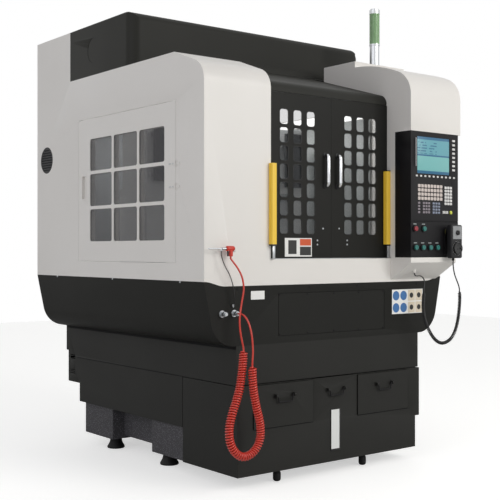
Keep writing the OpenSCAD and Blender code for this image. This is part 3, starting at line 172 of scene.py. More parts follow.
# %% [markdown]
# ## Cords
# Three cords hang on the front: the curly red air hose between its fitting and the air gun, the thin
# black tube from the gun's nozzle back to a grommet, and the pendant's curly cable. Each is a fixed
# length of one material, so each is one tube swept along its route. The curly parts are real helices
# around that route, because a ribbed tube would show no light between its turns.

# %% Routes and tubes


def run_of(points):
    """The length of a line of points."""
    return sum((b - a).length for a, b in zip(points, points[1:]))


def smooth_route(points, step):
    """Points a step apart on a smooth curve through the given ones (Catmull-Rom, in metres)."""
    pts = [Vector(p) for p in points]
    pts = [2 * pts[0] - pts[1]] + pts + [2 * pts[-1] - pts[-2]]
    dense = []
    for a, b, c, d in zip(pts, pts[1:], pts[2:], pts[3:]):
        for i in range(24):
            t = i / 24
            dense.append(0.5 * (2 * b + (c - a) * t + (2 * a - 5 * b + 4 * c - d) * t * t
                                + (3 * b - 3 * c + d - a) * t ** 3))
    dense.append(pts[-2])
    out, left = [dense[0]], step
    for a, b in zip(dense, dense[1:]):
        span = (b - a).length
        while span >= left:
            a = a + (b - a) * (left / span)
            out.append(a)
            span, left = (b - a).length, step
        left -= span
    if (dense[-1] - out[-1]).length > step * 0.3:
        out.append(dense[-1])
    else:
        out[-1] = dense[-1]
    return out


def carried_frames(points):
    """A direction and two square to it at each point, turned as little as possible along the way."""
    frames, side = [], None
    for i, p in enumerate(points):
        ahead = (points[min(i + 1, len(points) - 1)] - points[max(i - 1, 0)]).normalized()
        if side is None:
            side = ahead.cross(Vector((0, 1, 0)) if abs(ahead.y) < 0.9 else Vector((1, 0, 0)))
        side = (side - ahead * side.dot(ahead)).normalized()
        frames.append((ahead, side, ahead.cross(side)))
    return frames


def curl_round(points, radius, pitch, per_turn=14, ease=0.012):
    """A helix round a route: it opens from the route and closes on it within a short ease."""
    length = run_of(points)
    step = pitch / per_turn
    line = smooth_route(points, step)
    out = []
    for i, (p, (ahead, u, v)) in enumerate(zip(line, carried_frames(line))):
        s = i * step
        open_by = min(1.0, s / ease, max(0.0, (length - s) / ease))
        open_by = open_by * open_by * (3 - 2 * open_by)
        turn = 2 * math.pi * i / per_turn
        out.append(p + radius * open_by * (math.cos(turn) * u + math.sin(turn) * v))
    return out


def tube_mesh(name, points, diameter, sides=10):
    """A closed round tube along a list of points."""
    bm = bmesh.new()
    rings = []
    for p, (ahead, u, v) in zip(points, carried_frames(points)):
        rings.append([bm.verts.new(p + diameter / 2 * (math.cos(2 * math.pi * k / sides) * u
                                                       + math.sin(2 * math.pi * k / sides) * v))
                      for k in range(sides)])
    for a, b in zip(rings, rings[1:]):
        for k in range(sides):
            bm.faces.new((a[k], a[(k + 1) % sides], b[(k + 1) % sides], b[k]))
    bm.faces.new(reversed(rings[0]))
    bm.faces.new(rings[-1])
    return to_mesh(name, bm)


print("routes and tubes ready")

# %% [markdown]
# ## Colours and nodes
# Paint charts give colours as sRGB hex values, while the shaders want linear light, so one function
# converts them. Another adds a node with its settings and its links in one line, so that each finish
# below reads as a short recipe.

# %% Colour and node helpers


def colour(code):
    """An sRGB hex value as linear red, green, blue and alpha."""
    parts = [int(code[i:i + 2], 16) / 255 for i in (1, 3, 5)]
    return [p / 12.92 if p <= 0.04045 else ((p + 0.055) / 1.055) ** 2.4 for p in parts] + [1.0]


def feed(node, inputs):
    """Fills a node's inputs: a plain value is set, another node's output is linked (its first, if only
    the node is given)."""
    for key, value in inputs.items():
        if isinstance(value, bpy.types.Node):
            value = value.outputs[0]
        if isinstance(value, bpy.types.NodeSocket):
            node.id_data.links.new(value, node.inputs[key])
        else:
            node.inputs[key].default_value = value


def add(tree, kind, inputs=None, **settings):
    """Adds a node with its settings and its inputs."""
    node = tree.nodes.new(kind)
    for key, value in settings.items():
        setattr(node, key, value)
    feed(node, inputs or {})
    return node


def blank(name, base, roughness, metallic=0.0, **sockets):
    """A material with only its main shader; returns it, its tree, the shader and the coordinates."""
    mat = bpy.data.materials.new(name)
    mat.use_nodes = True
    tree = mat.node_tree
    shader = tree.nodes["Principled BSDF"]
    shader.inputs["Base Color"].default_value = colour(base)
    shader.inputs["Roughness"].default_value = roughness
    shader.inputs["Metallic"].default_value = metallic
    for key, value in sockets.items():
        shader.inputs[key.replace("_", " ")].default_value = value
    place = add(tree, "ShaderNodeTexCoord").outputs["Object"]
    return mat, tree, shader, place


print("white paint in linear light:", [round(v, 3) for v in colour("#E8E5E1")])

# %% [markdown]
# ## Paint on sheet steel
# The panels are powder coated. The powder melts into a skin with low rounded bumps, one to three
# millimetres across: smooth white has wide shallow ones, the dark structured coat small steep ones.
# Oven and spray also leave the colour slightly uneven over half a metre. A noise does both jobs: a
# fine one lifts the surface, a slow one drifts the colour and the gloss.

# %% Powder coats


def surface(tree, shader, fine, strength, depth, slow, low, high):
    """Lifts a surface by a fine pattern, to a depth in metres; a slow one moves its roughness."""
    feed(shader, {
        "Normal": add(tree, "ShaderNodeBump", {"Height": fine, "Strength": strength,
                                               "Distance": depth}),
        "Roughness": add(tree, "ShaderNodeMapRange", {"Value": slow, "To Min": low, "To Max": high})})


def powder_coat(name, base, drift, roughness, bump_mm, depth_mm, shine=0.5, glow=0.0):
    """Powder coat: bumps of bump_mm across and depth_mm high, and a colour that drifts to another.

    A glow in the coat's own colour is painted light, which keeps it bright in the shade.
    """
    mat, tree, shader, place = blank(name, base, roughness, Specular_IOR_Level=shine,
                                     Emission_Strength=glow)
    cloud = add(tree, "ShaderNodeTexNoise", {"Vector": place, "Scale": 2.2, "Detail": 4.0})
    mix = add(tree, "ShaderNodeMix", {0: cloud, 6: colour(base), 7: colour(drift)}, data_type="RGBA")
    feed(shader, {"Base Color": mix.outputs[2], "Emission Color": mix.outputs[2]})
    peel = add(tree, "ShaderNodeTexNoise", {
        "Vector": place, "Scale": 1000 / bump_mm, "Detail": 2.0, "Roughness": 0.55})
    surface(tree, shader, peel, 0.35, depth_mm / 1000, cloud, roughness - 0.05, roughness + 0.07)
    return mat


white_coat = powder_coat("white_powder_coat", "#E9E6E2", "#E2DFDA", 0.36, 2.6, 0.12)
dark_coat = powder_coat("charcoal_structured_coat", "#1C1C19", "#181816", 0.52, 1.5, 0.25, 0.16)
roof_coat = powder_coat("charcoal_roof_coat", "#262622", "#21211E", 0.52, 1.5, 0.25, 0.16)
tank_coat = powder_coat("charcoal_tank_coat", "#2A2A28", "#252523", 0.54, 1.5, 0.25, 0.16)
black_coat = powder_coat("black_satin_coat", "#121113", "#161517", 0.42, 1.2, 0.10, 0.2)
grey_coat = powder_coat("light_grey_coat", "#D2D4D4", "#C6C8C9", 0.42, 2.6, 0.12)
# the curtains' yellow glows a little: painted light that keeps it bright in the hood's shade
yellow_coat = powder_coat("signal_yellow_coat", "#E6C040", "#DDB536", 0.40, 1.4, 0.08, glow=0.14)
head_coat = powder_coat("slate_machine_enamel", "#34353B", "#2C2D33", 0.40, 2.0, 0.12, 0.3)
guard_coat = powder_coat("grey_splash_guard_coat", "#787B7B", "#6C6F70", 0.48, 2.0, 0.15, 0.3)
# the right guard's coat: the rear guard's grey made paler, as painted light on the right wall
lit_side_guard_coat = powder_coat("splash_guard_coat_painted_light", "#B9BDBB", "#ACB0AF", 0.48, 2.0, 0.15, 0.3)
print("powder coats made")

# %% [markdown]
# ## Cast iron under speckled enamel
# The foot of the machine is a casting, filled and sprayed with a grey enamel that is spattered with
# lighter drops to hide the rough skin. A Voronoi pattern cut near its cell centres gives separate
# drops about 6 mm apart, and a coarse noise keeps the uneven skin of the casting under the paint.
# Rubber and plastics are one colour all through: what the eye gets is the fine grain of the mould,
# which breaks the highlight, and patches that hands have polished.

# %% Casting, rubber and plastics


def speckled_enamel(name, base, drops, spacing_mm):
    """Enamel in one colour with round drops of another, over the coarse skin of a casting."""
    mat, tree, shader, place = blank(name, base, 0.6, Specular_IOR_Level=0.2)
    cells = add(tree, "ShaderNodeTexVoronoi", {"Vector": place, "Scale": 1000 / spacing_mm})
    drop = add(tree, "ShaderNodeMath", {0: cells, 1: 0.26}, operation="LESS_THAN")
    mix = add(tree, "ShaderNodeMix", {0: drop, 6: colour(base), 7: colour(drops)}, data_type="RGBA")
    rough = add(tree, "ShaderNodeTexNoise", {"Vector": place, "Scale": 90.0, "Detail": 5.0})
    bump = add(tree, "ShaderNodeBump", {"Height": rough, "Strength": 0.5, "Distance": 0.0015})
    feed(shader, {"Base Color": mix.outputs[2], "Normal": bump})
    return mat


def moulded(name, base, roughness, grain_mm, depth_mm, **sockets):
    """Moulded plastic or rubber: one colour through and through, with the mould's etched grain."""
    mat, tree, shader, place = blank(name, base, roughness, **sockets)
    etch = add(tree, "ShaderNodeTexNoise", {"Vector": place, "Scale": 1000 / grain_mm, "Detail": 3.0})
    worn = add(tree, "ShaderNodeTexNoise", {"Vector": place, "Scale": 14.0, "Detail": 3.0})
    surface(tree, shader, etch, 0.3, depth_mm / 1000, worn, roughness - 0.06, roughness + 0.1)
    return mat


casting = speckled_enamel("speckled_casting_enamel", "#49484B", "#807F84", 6.0)
foot_rubber = moulded("black_foot_rubber", "#161617", 0.6, 1.2, 0.15, Specular_IOR_Level=0.25)
seal_rubber = moulded("window_seal_rubber", "#161616", 0.5, 1.0, 0.08)
black_abs = moulded("black_grained_abs", "#1D1D1F", 0.48, 1.0, 0.10, Specular_IOR_Level=0.3)
dark_abs = moulded("dark_knob_plastic", "#151516", 0.38, 0.8, 0.06)
silver_abs = moulded("silver_grey_abs", "#8F9193", 0.42, 1.0, 0.06)
cream_keys = moulded("cream_key_silicone", "#CDC2BC", 0.5, 0.9, 0.05)
white_keys = moulded("white_key_silicone", "#DAD9D7", 0.5, 0.9, 0.05)
blue_keys = moulded("dim_blue_key_silicone", "#7C8496", 0.5, 0.9, 0.05)
grey_keys = moulded("mauve_grey_key_silicone", "#857D84", 0.5, 0.9, 0.05)
# the button caps' red and teal are darker than the plastic itself: painted shade of the shaded console
red_plastic = moulded("red_button_plastic", "#8E2430", 0.34, 1.5, 0.03, Coat_Weight=0.15)
teal_plastic = moulded("teal_button_plastic", "#1B6A63", 0.34, 1.5, 0.03, Coat_Weight=0.15)
gun_plastic = moulded("red_nylon_gun", "#C8311F", 0.36, 1.0, 0.05)
red_hose = moulded("red_polyurethane_hose", "#C9311F", 0.3, 2.0, 0.03, Coat_Weight=0.25)
black_tube = moulded("black_polyamide_tube", "#151516", 0.4, 2.0, 0.03)
cable_jacket = moulded("black_cable_jacket", "#1A1A1B", 0.45, 1.2, 0.05)
gauge_white = moulded("white_gauge_plate", "#E6E8E6", 0.35, 2.0, 0.03)
green_lens = moulded("green_lamp_polycarbonate", "#86AC7C", 0.24, 3.0, 0.03, Coat_Weight=0.4)
bare_plate = moulded("bare_white_plate", "#ECECEA", 0.35, 2.0, 0.02)
plate_blue = moulded("plain_blue_field", "#3C6FA8", 0.4, 2.0, 0.02)
plate_cream = moulded("plain_cream_field", "#D9CDB8", 0.4, 2.0, 0.02)
plate_dark = moulded("plain_dark_field", "#171716", 0.4, 2.0, 0.02)
label_film = moulded("grey_label_film", "#8E9494", 0.4, 2.0, 0.02)
filter_pad = moulded("dark_filter_fleece", "#2E2E31", 0.85, 2.5, 0.6, Specular_IOR_Level=0.1)
bellows_cloth = moulded("black_bellows_cloth", "#0E0E0F", 0.7, 1.0, 0.1, Specular_IOR_Level=0.15)
plate_orange = moulded("plain_orange_field", "#CF5326", 0.4, 2.0, 0.02)
lime_plastic = moulded("lime_start_lamp", "#C9CF4E", 0.3, 2, 0.02)
olive_film = moulded("olive_marker_film", "#6E6A33", 0.4, 2.0, 0.02)
print("castings and plastics made")

# %% [markdown]
# ## Bare and plated metals
# Ground rails and turned parts keep the fine lines of the tool that made them, chrome is a mirror with
# a trace of handling, and zinc plate is dull and slightly blue. The lines are noise drawn out along
# one or two axes; 0.4 mm from one to the next is coarse for grinding and fine for milling. Chrome and
# zinc get a broader pattern, 3 mm and 1.2 mm across.

# %% Metals


def ground_metal(name, base, roughness, squeeze, line_mm=0.4):
    """Metal with lines line_mm apart, drawn out along the axes whose squeeze is small."""
    mat, tree, shader, place = blank(name, base, roughness, 1.0)
    along = add(tree, "ShaderNodeMapping", {"Vector": place, "Scale": squeeze})
    lines = add(tree, "ShaderNodeTexNoise", {"Vector": along, "Scale": 1000 / line_mm, "Detail": 2.0})
    surface(tree, shader, lines, 0.15, 0.0001, lines, roughness - 0.07, roughness + 0.1)
    return mat


ground_steel = ground_metal("ground_guide_steel", "#B5B7B9", 0.3, (0.04, 0.04, 1.0))
turned_steel = ground_metal("turned_tool_steel", "#BFC1C3", 0.28, (0.05, 0.05, 1.0))
table_iron = ground_metal("milled_table_iron", "#8D9092", 0.4, (0.05, 1.0, 1.0))
chrome = ground_metal("polished_chrome", "#D5D7D9", 0.12, (1.0, 1.0, 0.05), 3.0)
zinc = ground_metal("zinc_plate", "#B7BABD", 0.34, (1.0, 1.0, 1.0), 1.2)
anodised = ground_metal("satin_anodised_aluminium", "#C3C5C7", 0.36, (0.05, 0.05, 1.0))
print("metals made")

# %% [markdown]
# ## Window glass
# The windows are clear sheet with a grey cast; they are thin, so they let light straight through with
# a part of it lost, and keep their gloss, which a light film of dust makes slightly uneven.

# %% Window glass


def window_sheet(name, base, cover):
    """Thin clear sheet: cover is the share of light that its grey takes away."""
    mat, tree, shader, place = blank(name, base, 0.06, Alpha=cover)
    dust = add(tree, "ShaderNodeTexNoise", {"Vector": place, "Scale": 9.0, "Detail": 4.0})
    feed(shader, {"Roughness": add(tree, "ShaderNodeMapRange", {
        "Value": dust, "To Min": 0.04, "To Max": 0.16})})
    return mat


side_glass = window_sheet("grey_side_window", "#3C3B40", 0.42)
door_glass = window_sheet("clear_door_window", "#5A5D60", 0.18)
print("window sheets made")

# %% [markdown]
# ## Three cords on their routes
# The points are those of the construction's routes, in mm. The hose drops from its fitting, curls
# through a hanging loop and rises to the gun; the cable does the same between the pendant and the
# console's bracket.

# %% The air hose, the thin tube and the pendant's cable
hose_dia = 0.008
coil_dia = 0.037
hose_from_port = [at(*p) for p in (
    (-579, -33, 761), (-579, -50, 761), (-573, -72, 748), (-566, -90, 715),
    (-562, -102, 665), (-561, -107, 610), (-564, -108, 572), (-565, -108, 545))]
hose_curl = [at(*p) for p in (
    (-565, -108, 545), (-564, -108, 500), (-560, -108, 455), (-552, -108, 408),
    (-541, -109, 362), (-529, -110, 318), (-523, -110, 278), (-527, -110, 236), (-547, -109, 199),
    (-578, -107, 178), (-614, -104, 174), (-645, -101, 192), (-667, -98, 224), (-675, -95, 262),
    (-672, -92, 302), (-657, -89, 350), (-632, -85, 402), (-610, -80, 455),
    (-596, -75, 508), (-586, -71, 562), (-580, -68, 612))]
hose_to_gun = [at(*p) for p in (
    (-580, -68, 612), (-583, -67, 632), (-592, -64, 676), (-596, -62, 716), (-593, -60, 760),
    (-581, -58, 815), (-571, -57, 866), (-577, -54, 914), (-594, -47, 952),
    (-611, -36, 980), (-619, -30, 994), (-619, -30, 1003))]
hose_path = (smooth_route(hose_from_port, 0.006)
             + curl_round(hose_curl, (coil_dia - hose_dia) / 2, 0.0105)[1:]
             + smooth_route(hose_to_gun, 0.006)[1:])
air_hose = piece("air_hose", tube_mesh("air_hose", hose_path, hose_dia), red_hose, "enclosure",
                 60)
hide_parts("hose_leads", "hose_coil")
print("air hose, metres:", round(run_of(hose_path), 2))

mist_path = smooth_route([at(*p) for p in (
    (-585, -3, 793), (-585, -10, 793), (-588, -17, 800), (-594, -24, 823), (-603, -31, 858),
    (-614, -34, 893), (-630, -35, 928), (-648, -33, 958), (-661, -31, 986), (-668, -30, 1010),
    (-668, -30, 1026))], 0.003)
mist_tube = piece("thin_tube", tube_mesh("thin_tube", mist_path, 0.004, 8), black_tube, "enclosure",
                  60)
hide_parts("mist_tube")
print("thin tube, metres:", round(run_of(mist_path), 3))

cable_dia = 0.006
cable_from_pendant = [at(*p) for p in (
    (645, -160, 978), (645, -160, 960), (648, -160, 936), (657, -160, 908), (671, -160, 882),
    (684, -160, 859), (691, -160, 840), (692, -160, 828))]
cable_curl = [at(*p) for p in (
    (692, -160, 828), (695, -159, 793), (696, -156, 754), (694, -153, 714),
    (688, -149, 670), (675, -145, 629), (654, -140, 597), (624, -134, 579), (592, -128, 576),
    (562, -121, 591), (537, -114, 620), (517, -107, 658), (503, -101, 700),
    (499, -97, 744), (503, -94, 787), (509, -92, 828))]
cable_to_gland = [at(*p) for p in (
    (509, -92, 828), (512, -91, 845), (516, -90, 868), (514, -88, 887), (504, -85, 900),
    (490, -80, 905), (477, -74, 904), (468, -71, 909), (466, -70, 920))]
cable_path = (smooth_route(cable_from_pendant, 0.005)
              + curl_round(cable_curl, 0.006, 0.0075, 12)[1:]
              + smooth_route(cable_to_gland, 0.005)[1:])
cable = piece("pendant_cable", tube_mesh("pendant_cable", cable_path, cable_dia, 8), cable_jacket,
              "enclosure", 60)
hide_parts("pendant_leads", "pendant_coil")
print("pendant cable, metres:", round(run_of(cable_path), 2))

# %% [markdown]
# ## Stage and light
# A wide soft lamp in front and a weaker, cooler one from the left leave the left side in half shade,
# as daylight from one side would, and a third lamp lights the inside. The world looks white to the
# camera, through the panes and in reflections, and lights the machine with about a third of that;
# the pale floor glows for the camera alone.

# %% Floor, world and lamps
floor_mesh = bpy.data.meshes.new("floor")
floor_mesh.from_pydata([(-9, -9, 0), (9, -9, 0), (9, 9, 0), (-9, 9, 0)], [], [(0, 1, 2, 3)])
floor = bpy.data.objects.new("floor", floor_mesh)
scene.collection.objects.link(floor)
floor_mat, floor_tree, floor_shader, _ = blank("pale_floor", "#E6E6E4", 0.7,
                                               Emission_Color=(1, 1, 1, 1))
rays = add(floor_tree, "ShaderNodeLightPath")
feed(floor_shader, {"Emission Strength": add(
    floor_tree, "ShaderNodeMath", {0: rays.outputs["Is Camera Ray"], 1: 0.54}, operation="MULTIPLY")})
floor_mesh.materials.append(floor_mat)

world = bpy.data.worlds.new("studio")
scene.world = world
world.use_nodes = True
sky = world.node_tree
sky.nodes.clear()
path = add(sky, "ShaderNodeLightPath")
seen = path.outputs["Is Camera Ray"]
for ray in ("Is Transmission Ray", "Is Glossy Ray"):
    seen = add(sky, "ShaderNodeMath", {0: seen, 1: path.outputs[ray]}, operation="MAXIMUM")
strength = add(sky, "ShaderNodeMapRange", {"Value": seen, "To Min": 0.36, "To Max": 1.0})
back = add(sky, "ShaderNodeBackground", {"Color": (1, 1, 1, 1), "Strength": strength})
add(sky, "ShaderNodeOutputWorld", {"Surface": back})


def lamp(name, place, aim, size, watts, tint=(1, 1, 1)):
    """A soft square lamp that points at a place."""
    data = bpy.data.lights.new(name, "AREA")
    data.size = size
    data.energy = watts
    data.color = tint
    obj = bpy.data.objects.new(name, data)
    obj.location = place
    obj.rotation_euler = (Vector(aim) - Vector(place)).to_track_quat("-Z", "Y").to_euler()
    scene.collection.objects.link(obj)


lamp("key", (1.4, -5.4, 3.3), (0, 0, 1.1), 3.0, 150, (1.0, 0.985, 0.96))
lamp("fill", (-5.0, -1.2, 2.6), (0, 0, 1.1), 3.0, 43, (0.92, 0.92, 1.0))
lamp("inside", (0.0, 0.28, 1.86), (0, 0.2, 1.0), 0.6, 17)
scene.view_settings.view_transform = "Standard"
print("stage set")

# %% [markdown]
# ## Sheet-metal skins
# The panels' shapes are right as built, but their bends are made of flats and their edges are sharp.
# Each visible panel gets a skin: a copy of its own mesh, with doubled points merged and flat areas
# joined, then a fine bevel on the edges and smooth shading over the bends. A bevel on the original
# would work too, but its loose triangles would leave cracks.

# %% Skins over the panels


def round_right_top(bm, radius=0.052, steps=6):
    """Rounds the edge where the right end meets the top, on both faces of the sheet alike."""
    edge_x, edge_z = max(v.co.x for v in bm.verts) - radius, max(v.co.z for v in bm.verts) - radius
    for k in range(steps):
        reach = radius * math.tan(math.radians(45 * k / steps))
        for place, normal in (((edge_x + reach, 0, 0), (1, 0, 0)), ((0, 0, edge_z + reach), (0, 0, 1))):
            bmesh.ops.bisect_plane(bm, geom=bm.verts[:] + bm.edges[:] + bm.faces[:], dist=1e-6,
                                   plane_co=place, plane_no=normal)
    for v in bm.verts:
        dx, dz = v.co.x - edge_x, v.co.z - edge_z
        if dx > 0 and dz > 0:
            pull = max(dx, dz) / math.hypot(dx, dz)
            v.co.x, v.co.z = edge_x + dx * pull, edge_z + dz * pull


def skin(node, material, width=0.0010, shape=None):
    """A refined copy of a node's mesh that stands for it; shape may change the copy first."""
    bm = bmesh.new()
    bm.from_mesh(nodes[node].data)
    bmesh.ops.remove_doubles(bm, verts=bm.verts, dist=2e-5)
    if shape:
        shape(bm)
    bmesh.ops.dissolve_limit(bm, angle_limit=math.radians(0.4), use_dissolve_boundaries=False,
                             verts=bm.verts, edges=bm.edges)
    mesh = bpy.data.meshes.new(node + "_skin")
    bm.to_mesh(mesh)
    bm.free()
    obj = piece(node + "_skin", mesh, material, nodes[node]["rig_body"], 28)
    edges = obj.modifiers.new("edges", "BEVEL")
    edges.width = width
    edges.segments = 2
    edges.limit_method = "ANGLE"
    edges.angle_limit = math.radians(32)
    edges.miter_outer = "MITER_ARC"
    edges.harden_normals = True
    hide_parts(node)


skins = {
    "front_panel": (white_coat,), "left_side_panel": (white_coat,), "right_side_panel": (white_coat,),
    "rear_panel": (white_coat,), "hood": (white_coat,), "side_door": (white_coat,),
    "belt_panel": (dark_coat,), "access_cover": (dark_coat, 0.0008), "skirt": (tank_coat,),
    "door_header": (roof_coat,), "left_door": (dark_coat, 0.0008), "right_door": (dark_coat, 0.0008),
    "coolant_tank": (tank_coat, 0.0012), "left_drawer": (tank_coat,), "right_drawer": (tank_coat,),
    "console_box": (black_coat, 0.0012), "operator_panel": (black_coat, 0.0008),
    "base_casting": (casting, 0.0040), "bridge": (grey_coat, 0.0040),
    "roof_cover": (roof_coat, 0.0010, round_right_top)}
for node, finish in skins.items():
    skin(node, *finish)
print("skins:", len(skins))

# %% [markdown]
# ## Finishes on the other nodes
# Rails, table, carriage, head and handles are solid machined parts whose built shape is the real
# one, so the nodes themselves stay and only get their finish.

# %% Dress the other nodes
finishes = {
    "guide_rails": ground_steel, "door_rails": ground_steel, "chip_pan": grey_coat, "table": table_iron,
    "carriage": grey_coat, "z_head": head_coat, "spindle_shaft": turned_steel, "vent_grille": black_abs,
    "air_ports": zinc, "left_door_pane": door_glass, "right_door_pane": door_glass,
    "side_door_pane": side_glass, "gun_trigger": dark_abs, "signal_pole": anodised,
    "left_drawer_handle": black_coat, "right_drawer_handle": black_coat, "tank_handle": black_coat}
for node, material in finishes.items():
    nodes[node].data.materials.clear()
    nodes[node].data.materials.append(material)
print("dressed nodes:", len(finishes))

# %% [markdown]
# ## Geometry Nodes: one helper to run a tree
# Whatever repeats is grown by a small tree: window seals, key caps, screws, lamp rings and dial marks.
# A tree takes a mesh of points and copies one shape on each. The helper below sets the named
# inputs, evaluates the tree once, and keeps the result as a plain mesh without the modifier, so that
# the piece can be exported and moved like any other.

# %% Tree helpers


def new_tree(name, sizes):
    """An empty tree with a named input for each size; returns it, its inputs by name and its output."""
    tree = bpy.data.node_groups.new(name, "GeometryNodeTree")
    tree.interface.new_socket("Geometry", in_out="INPUT", socket_type="NodeSocketGeometry")
    for label, kind in sizes.items():
        tree.interface.new_socket(label, in_out="INPUT", socket_type="NodeSocket" + kind)
    tree.interface.new_socket("Geometry", in_out="OUTPUT", socket_type="NodeSocketGeometry")
    given = {socket.name: socket for socket in add(tree, "NodeGroupInput").outputs}
    return tree, given, add(tree, "NodeGroupOutput")


def close_tree(tree, geometry, given, out):
    """Ends a tree: real copies, their material, and out."""
    real = add(tree, "GeometryNodeRealizeInstances", {"Geometry": geometry})
    done = add(tree, "GeometryNodeSetMaterial", {"Geometry": real, "Material": given["Material"]})
    feed(out, {0: done})


def grow(name, tree, places, values, material, body, smooth=35):
    """Runs a tree on points, in metres, and keeps what it made as a plain piece."""
    seeds = bpy.data.meshes.new(name)
    seeds.from_pydata([tuple(p) for p in places], [], [])
    obj = bpy.data.objects.new(name, seeds)
    mod = obj.modifiers.new("grow", "NODES")
    mod.node_group = tree
    known = {s.name: s.identifier for s in tree.interface.items_tree if s.in_out == "INPUT"}
    for label, value in {**values, "Material": material}.items():
        mod[known[label]] = value
    bpy.context.scene.collection.objects.link(obj)
    bpy.context.view_layer.update()
    result = bpy.data.meshes.new_from_object(obj.evaluated_get(bpy.context.evaluated_depsgraph_get()))
    obj.modifiers.clear()
    bpy.data.objects.remove(obj)
    result.name = name
    print(name, "copies:", len(places), "faces:", len(result.polygons))
    piece(name, result, material, body, smooth)


def stepped(tree, mesh, steps):
    """Pulls a mesh's faces out and shrinks them, step by step; returns the mesh and its top faces."""
    top = True
    for rise, shrink in steps:
        pulled = add(tree, "GeometryNodeExtrudeMesh", {
            "Mesh": mesh, "Selection": top, "Offset Scale": rise}, mode="FACES")
        top = pulled.outputs["Top"]
        mesh = add(tree, "GeometryNodeScaleElements", {
            "Geometry": pulled.outputs["Mesh"], "Selection": top, "Scale": shrink})
    return mesh, top


print("tree helpers ready")

# %% [markdown]
# ## Window seals
# Each small window of the sliding doors sits in a black rubber seal, a bead of 3 mm with rounded
# corners. A curve with filleted corners, swept with a small circle, is that bead; the tree places it
# at every window. Modelling one and arraying it twice would do as well, but the tree takes the
# windows' real pitch, and both doors use it.

# %% Seal tree
seal_tree, given, out = new_tree("window_seals", {
    "Width": "Float", "Height": "Float", "Corner": "Float", "Bead": "Float", "Material": "Material"})
outline = add(seal_tree, "GeometryNodeCurvePrimitiveQuadrilateral", {
    "Width": given["Width"], "Height": given["Height"]})
rounded = add(seal_tree, "GeometryNodeFilletCurve", {
    "Curve": outline, "Radius": given["Corner"], "Count": 6}, mode="POLY")
bead = add(seal_tree, "GeometryNodeCurvePrimitiveCircle", {"Resolution": 8, "Radius": given["Bead"]})
ring = add(seal_tree, "GeometryNodeCurveToMesh", {"Curve": rounded, "Profile Curve": bead})
copies = add(seal_tree, "GeometryNodeInstanceOnPoints", {
    "Points": given["Geometry"], "Instance": ring, "Rotation": (math.radians(90), 0, 0)})
close_tree(seal_tree, copies, given, out)

door_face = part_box("left_door")[0].y
window_rows = [1.137 + 0.0815 * k for k in range(7)]
for side, sign in (("left", -1), ("right", 1)):
    grow(side + "_door_seals", seal_tree,
         [(sign * (0.117 + 0.080 * i), door_face - 0.0002, z) for i in range(3) for z in window_rows],
         {"Width": 0.0502, "Height": 0.0692, "Corner": 0.0145, "Bead": 0.0016},
         seal_rubber, side + "_door", 60)

# %% [markdown]
# ## Key caps
# The console's keys are silicone caps with rounded corners and a slight draft, in several fields of
# different size. The tree fillets a rectangle, fills it, pulls it out and shrinks its top; each field
# is one run with its own sizes and colour. The caps are blank: their legends are left off.

# %% Key tree
key_tree, given, out = new_tree("key_caps", {
    "Width": "Float", "Height": "Float", "Corner": "Float", "Rise": "Float", "Material": "Material"})
outline = add(key_tree, "GeometryNodeCurvePrimitiveQuadrilateral", {
    "Width": given["Width"], "Height": given["Height"]})
rounded = add(key_tree, "GeometryNodeFilletCurve", {
    "Curve": outline, "Radius": given["Corner"], "Count": 3}, mode="POLY")
flat = add(key_tree, "GeometryNodeFillCurve", {"Curve": rounded}, mode="NGONS")
cap, _ = stepped(key_tree, flat, ((given["Rise"], 0.9), (0.0003, 0.86)))
copies = add(key_tree, "GeometryNodeInstanceOnPoints", {
    "Points": given["Geometry"], "Instance": cap, "Rotation": (math.radians(90), 0, 0)})
close_tree(key_tree, copies, given, out)

panel_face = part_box("console_box")[0].y


def key_field(name, x0, x1, z0, z1, columns, rows, gap, material):
    """A field of keys between two corners, in mm, with a gap between the caps."""
    w, h = (x1 - x0 + gap) / columns, (z1 - z0 + gap) / rows
    spots = [(x0 + (i + 0.5) * w - gap / 2, z0 + (k + 0.5) * h - gap / 2)
             for i in range(columns) for k in range(rows)]
    grow(name, key_tree, [(x / 1000, panel_face, z / 1000) for x, z in spots],
         {"Width": (w - gap) / 1000, "Height": (h - gap) / 1000,
          "Corner": min(w - gap, h - gap) / 5000, "Rise": 0.0016},
         material, "enclosure")


for field in (
        ("soft_keys", 410, 692, 1381, 1390, 10, 1, 17, white_keys),
        ("side_keys", 673, 693, 1418, 1573, 1, 8, 10, white_keys),
        ("letter_keys", 425, 600, 1270, 1346, 8, 4, 4, cream_keys),
        ("number_keys", 616, 671, 1250, 1341, 3, 6, 3, white_keys),
        ("mode_keys", 425, 440, 1206, 1261, 1, 4, 5, grey_keys),
        ("axis_keys", 459, 510, 1206, 1261, 3, 4, 4, grey_keys),
        ("jog_keys", 529, 583, 1206, 1261, 3, 4, 4, blue_keys),
        ("feed_keys", 602, 642, 1207, 1221, 4, 1, 3, white_keys)):
    key_field(*field)
shape = add_turned(bmesh.new(), [(0, 9), (3.5, 9), (4.6, 8), (5, 6), (5, 0)], at(661, -130, 1214),
                   FORWARD)
round_key = piece("start_lamp", shape, lime_plastic, "enclosure")
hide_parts("keypads")

# %% [markdown]
# ## The screws
# Small pan-head screws sit on the access cover, the belt, the sliding doors and the side door. The
# head is a flat disc with a round recess: the tree fills a circle, pulls it out, insets its top and
# pushes the middle in. The direction it faces is an input, since screws sit on the front and the left.

